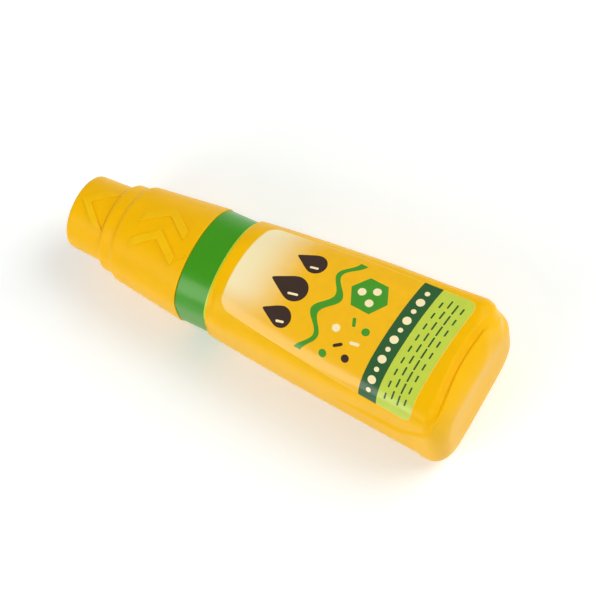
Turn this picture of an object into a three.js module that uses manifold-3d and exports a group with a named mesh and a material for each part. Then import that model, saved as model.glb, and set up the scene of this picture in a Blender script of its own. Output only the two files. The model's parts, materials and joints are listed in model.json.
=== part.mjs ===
// A small squeeze bottle of craft glue, lying on its back, with a two-way applicator under a twist cap.
// Millimetres, +Z up. The bottle's axis runs along X: the tip points to -X and the base to +X.
// The label faces up, and the back of the bottle's foot and shoulder lies at z = 0.
import * as THREE from 'three';
import { mergeVertices } from 'three/addons/utils/BufferGeometryUtils.js';
import Module from 'manifold-3d';

const wasm = await Module();
wasm.setup();

// Outside sizes along the axis, from the tip to the base
const TIP_CAP_LENGTH = 10.2;
const CAP_RING_LENGTH = 4.3;
const CAP_CONE_LENGTH = 19.2;
const COLLAR_LENGTH = 8.4;
const BOTTLE_LENGTH = 62.5;

// Outside sizes across the axis: width is along Y, depth along Z
const TIP_FRONT_DIAMETER = 18.1;
const TIP_REAR_DIAMETER = 19.0;
const TIP_EDGE_RADIUS = 1.0;
const CAP_RING_DIAMETER = 21.7;
const CAP_SHOULDER_DIAMETER = 23.7;
const CAP_STEP_SLOPE = 0.6;
const CAP_BASE_WIDTH = 28.8;
const CAP_BASE_DEPTH = 24.2;
const COLLAR_WIDTH = 28.3;
const COLLAR_DEPTH = 23.8;
const BOTTLE_TOP_WIDTH = 29.7;
const BOTTLE_BASE_WIDTH = 35.5;
const BOTTLE_DEPTH = 25.3;
const BASE_EDGE_RADIUS = 3.6;

// How square the sections are: 2 is an ellipse, and more is closer to a rectangle
const ROUND = 2;
const CAP_SQUARENESS = 2.1;
const BASE_SQUARENESS = 5;

// Walls, neck and collar
const BOTTLE_WALL = 1.0;
const NECK_DIAMETER = 17.4;
const NECK_WALL = 1.4;
const NECK_BEAD_HEIGHT = 0.5;
const NECK_BEAD_WIDTH = 1.2;
const COLLAR_WALL = 1.4;
const COLLAR_DECK = 1.5;
const SLEEVE_WALL = 1.3;
const NECK_SEAL_THICKNESS = 0.8;

// The threaded spigot on the collar
const SPIGOT_DIAMETER = 16.0;
const SPIGOT_WALL = 1.8;
const SPIGOT_LENGTH = 8.5;
const THREAD_STARTS = 3;
const THREAD_LEAD = 12;
const THREAD_HEIGHT = 0.9;
const THREAD_WIDTH = 1.4;
const THREAD_MARGIN = 1.6;

// The broad spreader in the spigot
const SPREADER_FLANGE_LEDGE = 1.3;
const SPREADER_FLANGE = 1.2;
const SPREADER_ROOT_WIDTH = 11.4;
const SPREADER_MOUTH_WIDTH = 10.4;
const SPREADER_ROOT_DEPTH = 5.6;
const SPREADER_MOUTH_DEPTH = 2.6;
const SPREADER_CHANNEL = 3.2;
const SPREADER_SLOT_WIDTH = 7.0;
const SPREADER_SLOT_DEPTH = 0.9;
const SPREADER_SLOT_LENGTH = 2.5;
const SPREADER_SQUARENESS = 4;

// The twist cap's inside, its wad and the fine nozzle
const CAP_WALL = 1.4;
const CAP_FRONT_WALL = 4.4;
const CAP_POCKET_LENGTH = 11;
const CAP_WAD_THICKNESS = 1.3;
const CAP_WAD_HOLE = 2.4;
const NOZZLE_FLANGE_DIAMETER = 10.4;
const NOZZLE_FLANGE = 1.5;
const NOZZLE_SHANK_DIAMETER = 5.4;
const NOZZLE_TIP_DIAMETER = 2.4;
const NOZZLE_BORE = 1.3;
const TIP_SEAT_LENGTH = 2.6;
const TIP_CAP_WALL = 1.25;
const TIP_CAP_FRONT_WALL = 1.6;
const TIP_SOCKET_LENGTH = 2.2;
const TIP_SOCKET_WALL = 0.6;
const TIP_PIN_DIAMETER = 0.6;
const TIP_PIN_LENGTH = 1.8;

// Raised arrows: two round the twist cap on each side, one along the tip cap
const ARROW_RELIEF = 0.35;
const ARROW_BAND = 2.4;
const TWIST_ARROW_LENGTH = 12;
const TWIST_ARROW_RISE = 4.4;
const TWIST_ARROW_CENTRE = 9.1;
const TWIST_ARROW_TURNS = [102, 71, 282, 251];
const TIP_ARROW_RISE = 5.4;
const TIP_ARROW_SPREAD = 60;
const TIP_ARROW_TURN = 97;
const TIP_ARROW_INSET = 3.2;

// Labels, as cut flat: the bottle widens towards its base, and so do they
const LABEL_THICKNESS = 0.15;
const LABEL_TOP_MARGIN = 4.4;
const LABEL_LENGTH = 50.8;
const LABEL_TOP_WIDTH = 24.4;
const LABEL_BOTTOM_WIDTH = 35.6;
const LABEL_CORNER_RADIUS = 2.6;
const FRONT_LABEL_SHIFT = 2.2;

// The shallow bed that each label lies in: the bottle rests on its foot and shoulder, not on a label
const LABEL_BED_DEPTH = 0.35;
const LABEL_BED_MARGIN = 0.8;
const LABEL_BED_SLOPE = 0.8;
const LABEL_BED_FLANK_ANGLE = 18;
const LABEL_BED_FULL_ANGLE = 27;

// The glue's surface stands this far above the axis while the bottle lies down
const GLUE_LEVEL = 8.8;

// Clearances
const SEAM_GAP = 0.3;
const FIT_GAP = 0.3;
const FACE_GAP = 0.1;
const LABEL_GAP = 0.1;
const SUNK = 0.5;

// Facets
const ROUND_SEGMENTS = 36;
const OVAL_SEGMENTS = 40;
const THREAD_STEP_DEGREES = 12;
const BODY_STEPS = 5;
const EDGE_STEPS = 3;
const LABEL_ROWS = 5;
const LABEL_COLUMNS = 24;
const ARROW_STEPS = 8;

// Places along the axis, counted from the joint between twist cap and collar towards the tip
const CAP_LENGTH = TIP_CAP_LENGTH + CAP_RING_LENGTH + CAP_CONE_LENGTH;
const TOTAL_LENGTH = CAP_LENGTH + COLLAR_LENGTH + BOTTLE_LENGTH;
const JOINT_X = CAP_LENGTH - TOTAL_LENGTH / 2;
const AXIS_HEIGHT = BOTTLE_DEPTH / 2;
const CAP_REAR = SEAM_GAP / 2;
const CAP_FRONT = CAP_CONE_LENGTH + CAP_RING_LENGTH;
const COLLAR_FRONT = -SEAM_GAP / 2;
const COLLAR_REAR = -COLLAR_LENGTH + SEAM_GAP / 2;
const BOTTLE_FRONT = -COLLAR_LENGTH - SEAM_GAP / 2;
const BOTTLE_REAR = -COLLAR_LENGTH - BOTTLE_LENGTH;
const LABEL_TOP = BOTTLE_FRONT - LABEL_TOP_MARGIN;
const LABEL_FOOT = LABEL_TOP - LABEL_LENGTH;
const DECK_UNDERSIDE = COLLAR_FRONT - COLLAR_DECK;
const NECK_FRONT = DECK_UNDERSIDE - NECK_SEAL_THICKNESS - 2 * FACE_GAP;
const SPIGOT_FRONT = COLLAR_FRONT + SPIGOT_LENGTH;
const CAVITY_FRONT = CAP_FRONT - CAP_FRONT_WALL;
const WAD_FRONT = CAVITY_FRONT - FIT_GAP;
const WAD_REAR = WAD_FRONT - CAP_WAD_THICKNESS;
const SPREADER_FRONT = WAD_REAR - FIT_GAP;
const NOZZLE_ROOT = CAP_FRONT + TIP_SEAT_LENGTH;
const TIP_CAP_REAR = CAP_FRONT + SEAM_GAP;
const TIP_CAP_INSIDE = CAP_LENGTH - TIP_CAP_FRONT_WALL;
const NOZZLE_FRONT = TIP_CAP_INSIDE - FIT_GAP;

// Radii that several pieces share
const NECK_RADIUS = NECK_DIAMETER / 2;
const NECK_BORE_RADIUS = NECK_RADIUS - NECK_WALL;
const BEAD_RADIUS = NECK_RADIUS + NECK_BEAD_HEIGHT;
const SPIGOT_RADIUS = SPIGOT_DIAMETER / 2;
const SPIGOT_BORE_RADIUS = SPIGOT_RADIUS - SPIGOT_WALL;
const THREAD_CREST = SPIGOT_RADIUS + THREAD_HEIGHT;
const CAP_BORE_RADIUS = THREAD_CREST + FIT_GAP;
const TIP_BORE_RADIUS = TIP_FRONT_DIAMETER / 2 - TIP_CAP_WALL;
const TIP_SEAT_RADIUS = TIP_BORE_RADIUS - FIT_GAP;

// Helpers for numbers and sections
const mix = (a, b, t) => a + (b - a) * t;
const clamp01 = (t) => Math.min(1, Math.max(0, t));
const radians = (degrees) => degrees * Math.PI / 180;
const signedPower = (value, power) => Math.sign(value) * Math.abs(value) ** power;

function place(reach, y, z) {
  return new THREE.Vector3(JOINT_X - reach, y, z + AXIS_HEIGHT);
}

// A section is {width, depth, squareness}; angle 0 is the far side and 90 degrees is the front
function sectionPoint(section, angle, offset = 0) {
  const c = Math.cos(angle);
  const s = Math.sin(angle);
  const power = 2 / section.squareness;
  const y = section.width / 2 * signedPower(c, power);
  const z = section.depth / 2 * signedPower(s, power);
  const normalY = signedPower(c, 2 - power) / section.width;
  const normalZ = signedPower(s, 2 - power) / section.depth;
  const scale = offset / Math.hypot(normalY, normalZ);
  return [y + scale * normalY, z + scale * normalZ];
}

function inset(section, distance) {
  const { width, depth, squareness } = section;
  return { width: width - 2 * distance, depth: depth - 2 * distance, squareness };
}

const roundSection = (diameter) => ({ width: diameter, depth: diameter, squareness: ROUND });

function mixSections(a, b, t) {
  return {
    width: mix(a.width, b.width, t),
    depth: mix(a.depth, b.depth, t),
    squareness: mix(a.squareness, b.squareness, t),
  };
}

// Helpers for solids
function solidFrom(geometry) {
  const bare = geometry.index ? geometry.toNonIndexed() : geometry.clone();
  bare.deleteAttribute('normal');
  bare.deleteAttribute('uv');
  const merged = mergeVertices(bare, 1e-4);
  const vertices = merged.attributes.position.array;
  const triangles = [];
  let volume = 0;
  const corner = (index) => new THREE.Vector3().fromArray(vertices, 3 * index);
  for (let i = 0; i < merged.index.count; i += 3) {
    const [a, b, c] = [0, 1, 2].map((k) => merged.index.getX(i + k));
    if (a === b || b === c || c === a) continue;
    triangles.push(a, b, c);
    volume += corner(a).dot(corner(b).cross(corner(c)));
  }
  if (volume < 0) triangles.reverse();
  return new wasm.Manifold(new wasm.Mesh({
    numProp: 3,
    vertProperties: new Float32Array(vertices),
    triVerts: new Uint32Array(triangles),
  }));
}

function geometryFrom(solid) {
  const { vertProperties, triVerts } = solid.getMesh();
  const geometry = new THREE.BufferGeometry();
  geometry.setAttribute('position', new THREE.BufferAttribute(new Float32Array(vertProperties), 3));
  geometry.setIndex(new THREE.BufferAttribute(new Uint32Array(triVerts), 1));
  geometry.computeVertexNormals();
  return geometry;
}

// The faces that close a ring: a fan round its middle, or a strip where the ring is a thin sheet's edge
function endFaces(ring, thin) {
  const count = ring.length;
  if (!thin) {
    const middle = ring.reduce((sum, p) => sum.add(p), new THREE.Vector3()).divideScalar(count);
    return ring.map((point, k) => [middle, point, ring[(k + 1) % count]]);
  }
  const faces = [];
  for (let k = 0; k + 1 < count / 2; k += 1) {
    const across = count - 1 - k;
    faces.push([ring[k], ring[k + 1], ring[across - 1]], [ring[k], ring[across - 1], ring[across]]);
  }
  return faces;
}

// Joins rows of points, each row one closed ring, into a closed solid with flat ends
function loft(rings, thin = false) {
  const count = rings[0].length;
  const positions = [];
  const triangle = (a, b, c) => positions.push(...a.toArray(), ...b.toArray(), ...c.toArray());
  for (let i = 0; i + 1 < rings.length; i += 1) {
    for (let k = 0; k < count; k += 1) {
      const next = (k + 1) % count;
      triangle(rings[i][k], rings[i][next], rings[i + 1][next]);
      triangle(rings[i][k], rings[i + 1][next], rings[i + 1][k]);
    }
  }
  for (const [a, b, c] of endFaces(rings[0], thin)) triangle(c, b, a);
  for (const [a, b, c] of endFaces(rings[rings.length - 1], thin)) triangle(a, b, c);
  const geometry = new THREE.BufferGeometry();
  geometry.setAttribute('position', new THREE.Float32BufferAttribute(positions, 3));
  return solidFrom(geometry);
}

function sectionRing(reach, section, shift = () => 0) {
  return Array.from({ length: OVAL_SEGMENTS }, (_, k) => {
    const angle = 2 * Math.PI * k / OVAL_SEGMENTS;
    return place(reach, ...sectionPoint(section, angle, shift(angle)));
  });
}

const ovalLoft = (stations) => loft(stations.map(([reach, section]) => sectionRing(reach, section)));

// Turns a profile of [radius, reach] pairs about the bottle's axis
function turned(profile) {
  const points = profile.map(([radius, reach]) => new THREE.Vector2(radius, reach));
  const geometry = new THREE.LatheGeometry(points, ROUND_SEGMENTS);
  geometry.rotateZ(Math.PI / 2);
  geometry.translate(JOINT_X, 0, AXIS_HEIGHT);
  return solidFrom(geometry);
}

const rod = (radius, from, to) => turned([[0, from], [radius, from], [radius, to], [0, to]]);

function pipe(inner, outer, from, to) {
  return turned([[inner, from], [outer, from], [outer, to], [inner, to], [inner, from]]);
}

// A thin sheet over a surface: rows of parameters become an inner and an outer skin
function sheet(surface, rows, inner, outer) {
  const rings = rows.map((row) => [
    ...row.map(([a, b]) => surface(a, b, outer)),
    ...row.slice().reverse().map(([a, b]) => surface(a, b, inner)),
  ]);
  return loft(rings, true);
}

// One helical thread ridge: root and crest are radii, and the ridge stands on the root
function threadRidge(root, crest, startTurn, from, to) {
  const turns = (to - from) / THREAD_LEAD;
  const steps = Math.ceil(turns * 360 / THREAD_STEP_DEGREES);
  const rings = [];
  for (let i = 0; i <= steps; i += 1) {
    const turn = turns * i / steps;
    const angle = 2 * Math.PI * (startTurn + turn);
    const reach = from + turn * THREAD_LEAD;
    const at = (radius, side) => place(reach + side, radius * Math.sin(angle), radius * Math.cos(angle));
    const foot = THREAD_WIDTH / 2;
    const top = foot / 2;
    rings.push([at(root, -foot), at(crest, -top), at(crest, top), at(root, foot)]);
  }
  return loft(rings);
}

// The cap's ridges lie half a pitch from the spigot's, midway between them
const HALF_PITCH = 0.5;

function threadRidges(root, crest, phase) {
  const from = THREAD_MARGIN + THREAD_WIDTH / 2;
  const to = SPIGOT_FRONT - THREAD_MARGIN;
  return Array.from({ length: THREAD_STARTS }, (_, k) => {
    return threadRidge(root, crest, (k + phase) / THREAD_STARTS, from, to);
  });
}

const joinAll = (first, others) => others.reduce((sum, solid) => sum.add(solid), first);

// Bottle: sections widen from the collar to the foot
const bottleTop = { width: BOTTLE_TOP_WIDTH, depth: BOTTLE_DEPTH, squareness: CAP_SQUARENESS };
const bottleBase = { width: BOTTLE_BASE_WIDTH, depth: BOTTLE_DEPTH, squareness: BASE_SQUARENESS };
const EDGE_START = BOTTLE_REAR + BASE_EDGE_RADIUS;

function bottleSection(reach) {
  return mixSections(bottleTop, bottleBase, clamp01((BOTTLE_FRONT - reach) / (BOTTLE_FRONT - EDGE_START)));
}

// How deep the label beds are, on the front and the back alike
function bedDepth(reach, angle) {
  const front = LABEL_TOP + LABEL_BED_MARGIN + LABEL_BED_SLOPE;
  const rear = LABEL_FOOT - LABEL_BED_MARGIN - LABEL_BED_SLOPE;
  const along = clamp01(Math.min(front - reach, reach - rear) / LABEL_BED_SLOPE);
  const fromFlank = Math.asin(Math.abs(Math.sin(angle)));
  const flank = radians(LABEL_BED_FLANK_ANGLE);
  const around = clamp01((fromFlank - flank) / (radians(LABEL_BED_FULL_ANGLE) - flank));
  return LABEL_BED_DEPTH * along * around;
}

function bottlePoint(reach, angle, offset) {
  const [y, z] = sectionPoint(bottleSection(reach), angle, offset - bedDepth(reach, angle));
  return place(reach, y, z);
}

// Stations down the bottle, with one at each end of the slopes into the beds
function bottleReaches(front, rear) {
  const bedFront = LABEL_TOP + LABEL_BED_MARGIN;
  const bedRear = LABEL_FOOT - LABEL_BED_MARGIN;
  const inBed = Array.from({ length: BODY_STEPS + 1 }, (_, i) => mix(bedFront, bedRear, i / BODY_STEPS));
  const between = [bedFront + LABEL_BED_SLOPE, ...inBed, bedRear - LABEL_BED_SLOPE];
  return [front, ...between.filter((reach) => reach < front && reach > rear), rear];
}

const bottleRing = (reach, section) => sectionRing(reach, section, (angle) => -bedDepth(reach, angle));

function bottleOutside() {
  const rings = bottleReaches(BOTTLE_FRONT, EDGE_START).map((reach) => bottleRing(reach, bottleSection(reach)));
  for (let i = 1; i <= EDGE_STEPS; i += 1) {
    const turn = Math.PI / 2 * i / EDGE_STEPS;
    const reach = EDGE_START - BASE_EDGE_RADIUS * Math.sin(turn);
    rings.push(bottleRing(reach, inset(bottleBase, BASE_EDGE_RADIUS * (1 - Math.cos(turn)))));
  }
  return loft(rings);
}

// The hollow follows the outside at the wall's thickness, or a little less far out for the glue in it
function bottleHollow(spare) {
  const wall = BOTTLE_WALL + spare;
  const rear = BOTTLE_REAR + wall;
  const edge = rear + BASE_EDGE_RADIUS - BOTTLE_WALL;
  const rings = bottleReaches(BOTTLE_FRONT - wall, edge).map((reach) => {
    return bottleRing(reach, inset(bottleSection(reach), wall));
  });
  rings.push(sectionRing(rear, inset(bottleBase, wall + BASE_EDGE_RADIUS - BOTTLE_WALL)));
  return loft(rings);
}

const beadMiddle = (NECK_FRONT + BOTTLE_FRONT) / 2;

function makeBottle() {
  const rootReach = BOTTLE_FRONT - BOTTLE_WALL;
  const neck = turned([
    [0, rootReach], [NECK_RADIUS, rootReach],
    [NECK_RADIUS, beadMiddle - NECK_BEAD_WIDTH / 2], [BEAD_RADIUS, beadMiddle],
    [NECK_RADIUS, beadMiddle + NECK_BEAD_WIDTH / 2], [NECK_RADIUS, NECK_FRONT], [0, NECK_FRONT],
  ]);
  const bore = rod(NECK_BORE_RADIUS, rootReach - BOTTLE_WALL, NECK_FRONT + SUNK);
  return bottleOutside().add(neck).subtract(bottleHollow(0)).subtract(bore);
}

function makeGlue() {
  const reach = TOTAL_LENGTH;
  const block = new THREE.BoxGeometry(2 * reach, 2 * reach, reach);
  block.translate(0, 0, AXIS_HEIGHT + GLUE_LEVEL - reach / 2);
  return bottleHollow(FIT_GAP).intersect(solidFrom(block));
}

// Labels: the distance round the section is measured from its middle line, positive to the near side in front
function angleAtDistance(section, distance, middleAngle) {
  const step = radians(0.5);
  let angle = middleAngle;
  let [y, z] = sectionPoint(section, angle);
  let left = Math.abs(distance);
  while (left > 0) {
    const next = angle + step * Math.sign(distance);
    const [nextY, nextZ] = sectionPoint(section, next);
    const length = Math.hypot(nextY - y, nextZ - z);
    if (length >= left) return angle + (next - angle) * left / length;
    left -= length;
    [angle, y, z] = [next, nextY, nextZ];
  }
  return angle;
}

function makeLabel(middleAngle, footShift = 0) {
  const rows = [];
  const row = (down, trim) => {
    const half = mix(LABEL_TOP_WIDTH, LABEL_BOTTOM_WIDTH, down / LABEL_LENGTH) / 2 - trim;
    const shift = footShift * down / LABEL_LENGTH;
    const reach = LABEL_TOP - down;
    rows.push(Array.from({ length: LABEL_COLUMNS + 1 }, (_, k) => {
      const distance = shift + half * (2 * k / LABEL_COLUMNS - 1);
      return [reach, angleAtDistance(bottleSection(reach), distance, middleAngle)];
    }));
  };
  const corner = (step) => {
    const turn = Math.PI / 2 * step / EDGE_STEPS;
    return [LABEL_CORNER_RADIUS * (1 - Math.cos(turn)), LABEL_CORNER_RADIUS * (1 - Math.sin(turn))];
  };
  for (let i = 0; i < EDGE_STEPS; i += 1) row(...corner(i));
  for (let i = 0; i <= LABEL_ROWS; i += 1) {
    row(mix(LABEL_CORNER_RADIUS, LABEL_LENGTH - LABEL_CORNER_RADIUS, i / LABEL_ROWS), 0);
  }
  for (let i = EDGE_STEPS - 1; i >= 0; i -= 1) {
    const [down, trim] = corner(i);
    row(LABEL_LENGTH - down, trim);
  }
  return sheet(bottlePoint, rows, LABEL_GAP, LABEL_GAP + LABEL_THICKNESS);
}

// Collar: an oval skirt and a round sleeve on one deck, with the spigot in front
const collarSection = { width: COLLAR_WIDTH, depth: COLLAR_DEPTH, squareness: CAP_SQUARENESS };

function makeCollar() {
  const sleeveBore = NECK_RADIUS + FIT_GAP;
  const beadRoom = BEAD_RADIUS + FIT_GAP;
  const skirt = ovalLoft([[COLLAR_FRONT, collarSection], [COLLAR_REAR, collarSection]]);
  const room = inset(collarSection, COLLAR_WALL);
  const hollow = ovalLoft([[DECK_UNDERSIDE, room], [COLLAR_REAR - SUNK, room]]);
  const sleeve = pipe(sleeveBore, beadRoom + SLEEVE_WALL, COLLAR_REAR, DECK_UNDERSIDE + SUNK);
  const neckRoom = turned([
    [0, COLLAR_REAR - SUNK], [sleeveBore, COLLAR_REAR - SUNK],
    [sleeveBore, beadMiddle - NECK_BEAD_WIDTH], [beadRoom, beadMiddle - NECK_BEAD_WIDTH / 2],
    [beadRoom, beadMiddle + NECK_BEAD_WIDTH / 2], [sleeveBore, beadMiddle + NECK_BEAD_WIDTH],
    [sleeveBore, DECK_UNDERSIDE], [0, DECK_UNDERSIDE],
  ]);
  const spigot = rod(SPIGOT_RADIUS, COLLAR_FRONT - SUNK, SPIGOT_FRONT);
  const bore = rod(SPIGOT_BORE_RADIUS, DECK_UNDERSIDE - SUNK, SPIGOT_FRONT + SUNK);
  const ridges = threadRidges(SPIGOT_RADIUS - SUNK, THREAD_CREST, 0);
  return joinAll(skirt.subtract(hollow).add(sleeve).subtract(neckRoom).add(spigot), ridges).subtract(bore);
}

function makeNeckSeal() {
  const front = DECK_UNDERSIDE - FACE_GAP;
  return pipe(NECK_BORE_RADIUS, NECK_RADIUS, front - NECK_SEAL_THICKNESS, front);
}

// Spreader: a plug in the spigot, a flange on its rim, and a flat blade with a slot
function makeSpreader() {
  const plugRear = DECK_UNDERSIDE;
  const flangeRear = SPIGOT_FRONT + FACE_GAP;
  const flangeFront = flangeRear + SPREADER_FLANGE;
  const plugRadius = SPIGOT_BORE_RADIUS - FIT_GAP;
  const flangeRadius = SPIGOT_BORE_RADIUS + SPREADER_FLANGE_LEDGE;
  const plug = turned([
    [0, plugRear], [plugRadius, plugRear], [plugRadius, flangeRear],
    [flangeRadius, flangeRear], [flangeRadius, flangeFront], [0, flangeFront],
  ]);
  const root = { width: SPREADER_ROOT_WIDTH, depth: SPREADER_ROOT_DEPTH, squareness: SPREADER_SQUARENESS };
  const mouth = { width: SPREADER_MOUTH_WIDTH, depth: SPREADER_MOUTH_DEPTH, squareness: SPREADER_SQUARENESS };
  const slot = { width: SPREADER_SLOT_WIDTH, depth: SPREADER_SLOT_DEPTH, squareness: SPREADER_SQUARENESS };
  const blade = ovalLoft([[flangeFront - SUNK, root], [SPREADER_FRONT, mouth]]);
  const slotRear = SPREADER_FRONT - SPREADER_SLOT_LENGTH;
  const cut = ovalLoft([[slotRear, slot], [SPREADER_FRONT + SUNK, slot]]);
  const channel = turned([
    [0, plugRear - SUNK], [SPREADER_CHANNEL / 2, plugRear - SUNK],
    [SPREADER_CHANNEL / 2, flangeFront], [SPREADER_SLOT_DEPTH / 2, slotRear + SUNK], [0, slotRear + SUNK],
  ]);
  return plug.add(blade).subtract(channel).subtract(cut);
}

// Twist cap: an oval cone that turns round towards its shoulder, then a soft step to a ring
const capBase = { width: CAP_BASE_WIDTH, depth: CAP_BASE_DEPTH, squareness: CAP_SQUARENESS };
const capShoulder = roundSection(CAP_SHOULDER_DIAMETER);

function capSection(reach) {
  return mixSections(capBase, capShoulder, clamp01((reach - CAP_REAR) / (CAP_CONE_LENGTH - CAP_REAR)));
}

function capPoint(reach, angle, offset) {
  return place(reach, ...sectionPoint(capSection(reach), angle, offset));
}

// An arrow that points round the cap, the way that opens it
function twistArrow(turn) {
  const rows = Array.from({ length: ARROW_STEPS + 1 }, (_, i) => {
    const along = 2 * i / ARROW_STEPS - 1;
    const reach = TWIST_ARROW_CENTRE + along * TWIST_ARROW_LENGTH / 2;
    const section = capSection(reach);
    const rise = TWIST_ARROW_RISE * Math.abs(along);
    const edge = (shift) => angleAtDistance(section, rise + shift, radians(turn));
    return [[reach, edge(-ARROW_BAND / 2)], [reach, edge(0)], [reach, edge(ARROW_BAND / 2)]];
  });
  return sheet(capPoint, rows, -SUNK, ARROW_RELIEF);
}

function makeTwistCap() {
  const ring = roundSection(CAP_RING_DIAMETER);
  const body = ovalLoft([
    [CAP_REAR, capBase], [CAP_CONE_LENGTH, capShoulder],
    [CAP_CONE_LENGTH + CAP_STEP_SLOPE, ring],
    [CAP_FRONT - CAP_STEP_SLOPE, ring], [CAP_FRONT, inset(ring, CAP_STEP_SLOPE)],
  ]);
  const seat = rod(TIP_SEAT_RADIUS, CAP_FRONT - SUNK, NOZZLE_ROOT);
  const cavity = rod(CAP_BORE_RADIUS, CAP_REAR - SUNK, CAVITY_FRONT);
  const flangeRoomFront = CAVITY_FRONT + NOZZLE_FLANGE + FIT_GAP;
  const flangeRoom = rod(NOZZLE_FLANGE_DIAMETER / 2 + FIT_GAP, CAVITY_FRONT - SUNK, flangeRoomFront);
  const shankRoom = rod(NOZZLE_SHANK_DIAMETER / 2 + FIT_GAP, CAVITY_FRONT, NOZZLE_ROOT + SUNK);
  const pocketEnd = CAP_REAR + CAP_POCKET_LENGTH;
  const pocket = ovalLoft([
    [CAP_REAR - SUNK, inset(capBase, CAP_WALL)], [pocketEnd, inset(capSection(pocketEnd), CAP_WALL)],
  ]).subtract(rod(CAP_BORE_RADIUS + SLEEVE_WALL, CAP_REAR - 2 * SUNK, pocketEnd + SUNK));
  const ridges = threadRidges(CAP_BORE_RADIUS + SUNK, SPIGOT_RADIUS + FIT_GAP, HALF_PITCH);
  const shell = body.add(seat).subtract(cavity).subtract(flangeRoom).subtract(shankRoom).subtract(pocket);
  return joinAll(joinAll(shell, ridges), TWIST_ARROW_TURNS.map(twistArrow));
}

// The wad seals on the spreader's mouth, and the cap turns over it
function makeCapWad() {
  return pipe(CAP_WAD_HOLE / 2, CAP_BORE_RADIUS - FIT_GAP, WAD_REAR, WAD_FRONT);
}

function makeNozzle() {
  const flangeRear = CAVITY_FRONT;
  const shank = NOZZLE_SHANK_DIAMETER / 2;
  const flange = NOZZLE_FLANGE_DIAMETER / 2;
  return turned([
    [NOZZLE_BORE / 2, flangeRear], [flange, flangeRear], [flange, flangeRear + NOZZLE_FLANGE],
    [shank, flangeRear + NOZZLE_FLANGE], [shank, NOZZLE_ROOT], [NOZZLE_TIP_DIAMETER / 2, NOZZLE_FRONT],
    [NOZZLE_BORE / 2, NOZZLE_FRONT], [NOZZLE_BORE / 2, flangeRear],
  ]);
}

function nozzleRadius(reach) {
  const t = (reach - NOZZLE_ROOT) / (NOZZLE_FRONT - NOZZLE_ROOT);
  return mix(NOZZLE_SHANK_DIAMETER, NOZZLE_TIP_DIAMETER, t) / 2;
}

// Tip cap: a round cup over the seat, with a socket and a pin that close the fine nozzle
function tipRadius(reach) {
  const t = (reach - TIP_CAP_REAR) / (CAP_LENGTH - TIP_CAP_REAR);
  return mix(TIP_REAR_DIAMETER, TIP_FRONT_DIAMETER, t) / 2;
}

function tipPoint(reach, angle, offset) {
  return place(reach, ...sectionPoint(roundSection(2 * tipRadius(reach)), angle, offset));
}

// An arrow that points along the cap, the way that it pulls off
function tipArrow() {
  const apex = CAP_LENGTH - TIP_ARROW_INSET;
  const rows = Array.from({ length: ARROW_STEPS + 1 }, (_, i) => {
    const along = 2 * i / ARROW_STEPS - 1;
    const angle = radians(TIP_ARROW_TURN + along * TIP_ARROW_SPREAD / 2);
    const reach = apex - TIP_ARROW_RISE * Math.abs(along);
    return [[reach + ARROW_BAND / 2, angle], [reach, angle], [reach - ARROW_BAND / 2, angle]];
  });
  return sheet(tipPoint, rows, -SUNK, ARROW_RELIEF);
}

function makeTipCap() {
  const edge = Array.from({ length: EDGE_STEPS + 1 }, (_, i) => {
    const turn = Math.PI / 2 * i / EDGE_STEPS;
    const front = TIP_FRONT_DIAMETER / 2 - TIP_EDGE_RADIUS;
    return [front + TIP_EDGE_RADIUS * Math.cos(turn), CAP_LENGTH - TIP_EDGE_RADIUS * (1 - Math.sin(turn))];
  });
  const cup = turned([
    [TIP_BORE_RADIUS, TIP_CAP_REAR], [TIP_REAR_DIAMETER / 2, TIP_CAP_REAR], ...edge,
    [0, CAP_LENGTH], [0, TIP_CAP_INSIDE], [TIP_BORE_RADIUS, TIP_CAP_INSIDE], [TIP_BORE_RADIUS, TIP_CAP_REAR],
  ]);
  const mouth = TIP_CAP_INSIDE - TIP_SOCKET_LENGTH;
  const socketRear = nozzleRadius(mouth) + FIT_GAP;
  const socketFront = nozzleRadius(NOZZLE_FRONT) + FIT_GAP;
  const wallTop = TIP_CAP_INSIDE + SUNK;
  const socket = turned([
    [socketRear, mouth], [socketRear + TIP_SOCKET_WALL, mouth], [socketRear + TIP_SOCKET_WALL, wallTop],
    [socketFront, wallTop], [socketRear, mouth],
  ]);
  const pin = rod(TIP_PIN_DIAMETER / 2, TIP_CAP_INSIDE - TIP_PIN_LENGTH, wallTop);
  return cup.add(socket).add(pin).add(tipArrow());
}

// The assembly: every piece is its own mesh
const FRONT_ANGLE = radians(90);
const BACK_ANGLE = radians(270);
const YELLOW = '#f6b404';
const materials = {
  bottle: { color: '#f7b50a', roughness: 0.34 },
  glue_fill: { color: '#efe9d8', roughness: 0.2 },
  front_label: { color: '#f3c75a', roughness: 0.3 },
  back_label: { color: '#f1e3b4', roughness: 0.3 },
  collar: { color: '#3f9a22', roughness: 0.28 },
  neck_seal: { color: '#e8e4da', roughness: 0.7 },
  spreader_tip: { color: '#f2efe6', roughness: 0.4 },
  twist_cap: { color: YELLOW, roughness: 0.38 },
  cap_wad: { color: '#e8e4da', roughness: 0.7 },
  fine_nozzle: { color: '#f2efe6', roughness: 0.4 },
  tip_cap: { color: YELLOW, roughness: 0.38 },
};

const solids = {
  bottle: makeBottle(),
  glue_fill: makeGlue(),
  front_label: makeLabel(FRONT_ANGLE, FRONT_LABEL_SHIFT),
  back_label: makeLabel(BACK_ANGLE),
  collar: makeCollar(),
  neck_seal: makeNeckSeal(),
  spreader_tip: makeSpreader(),
  twist_cap: makeTwistCap(),
  cap_wad: makeCapWad(),
  fine_nozzle: makeNozzle(),
  tip_cap: makeTipCap(),
};

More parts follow.
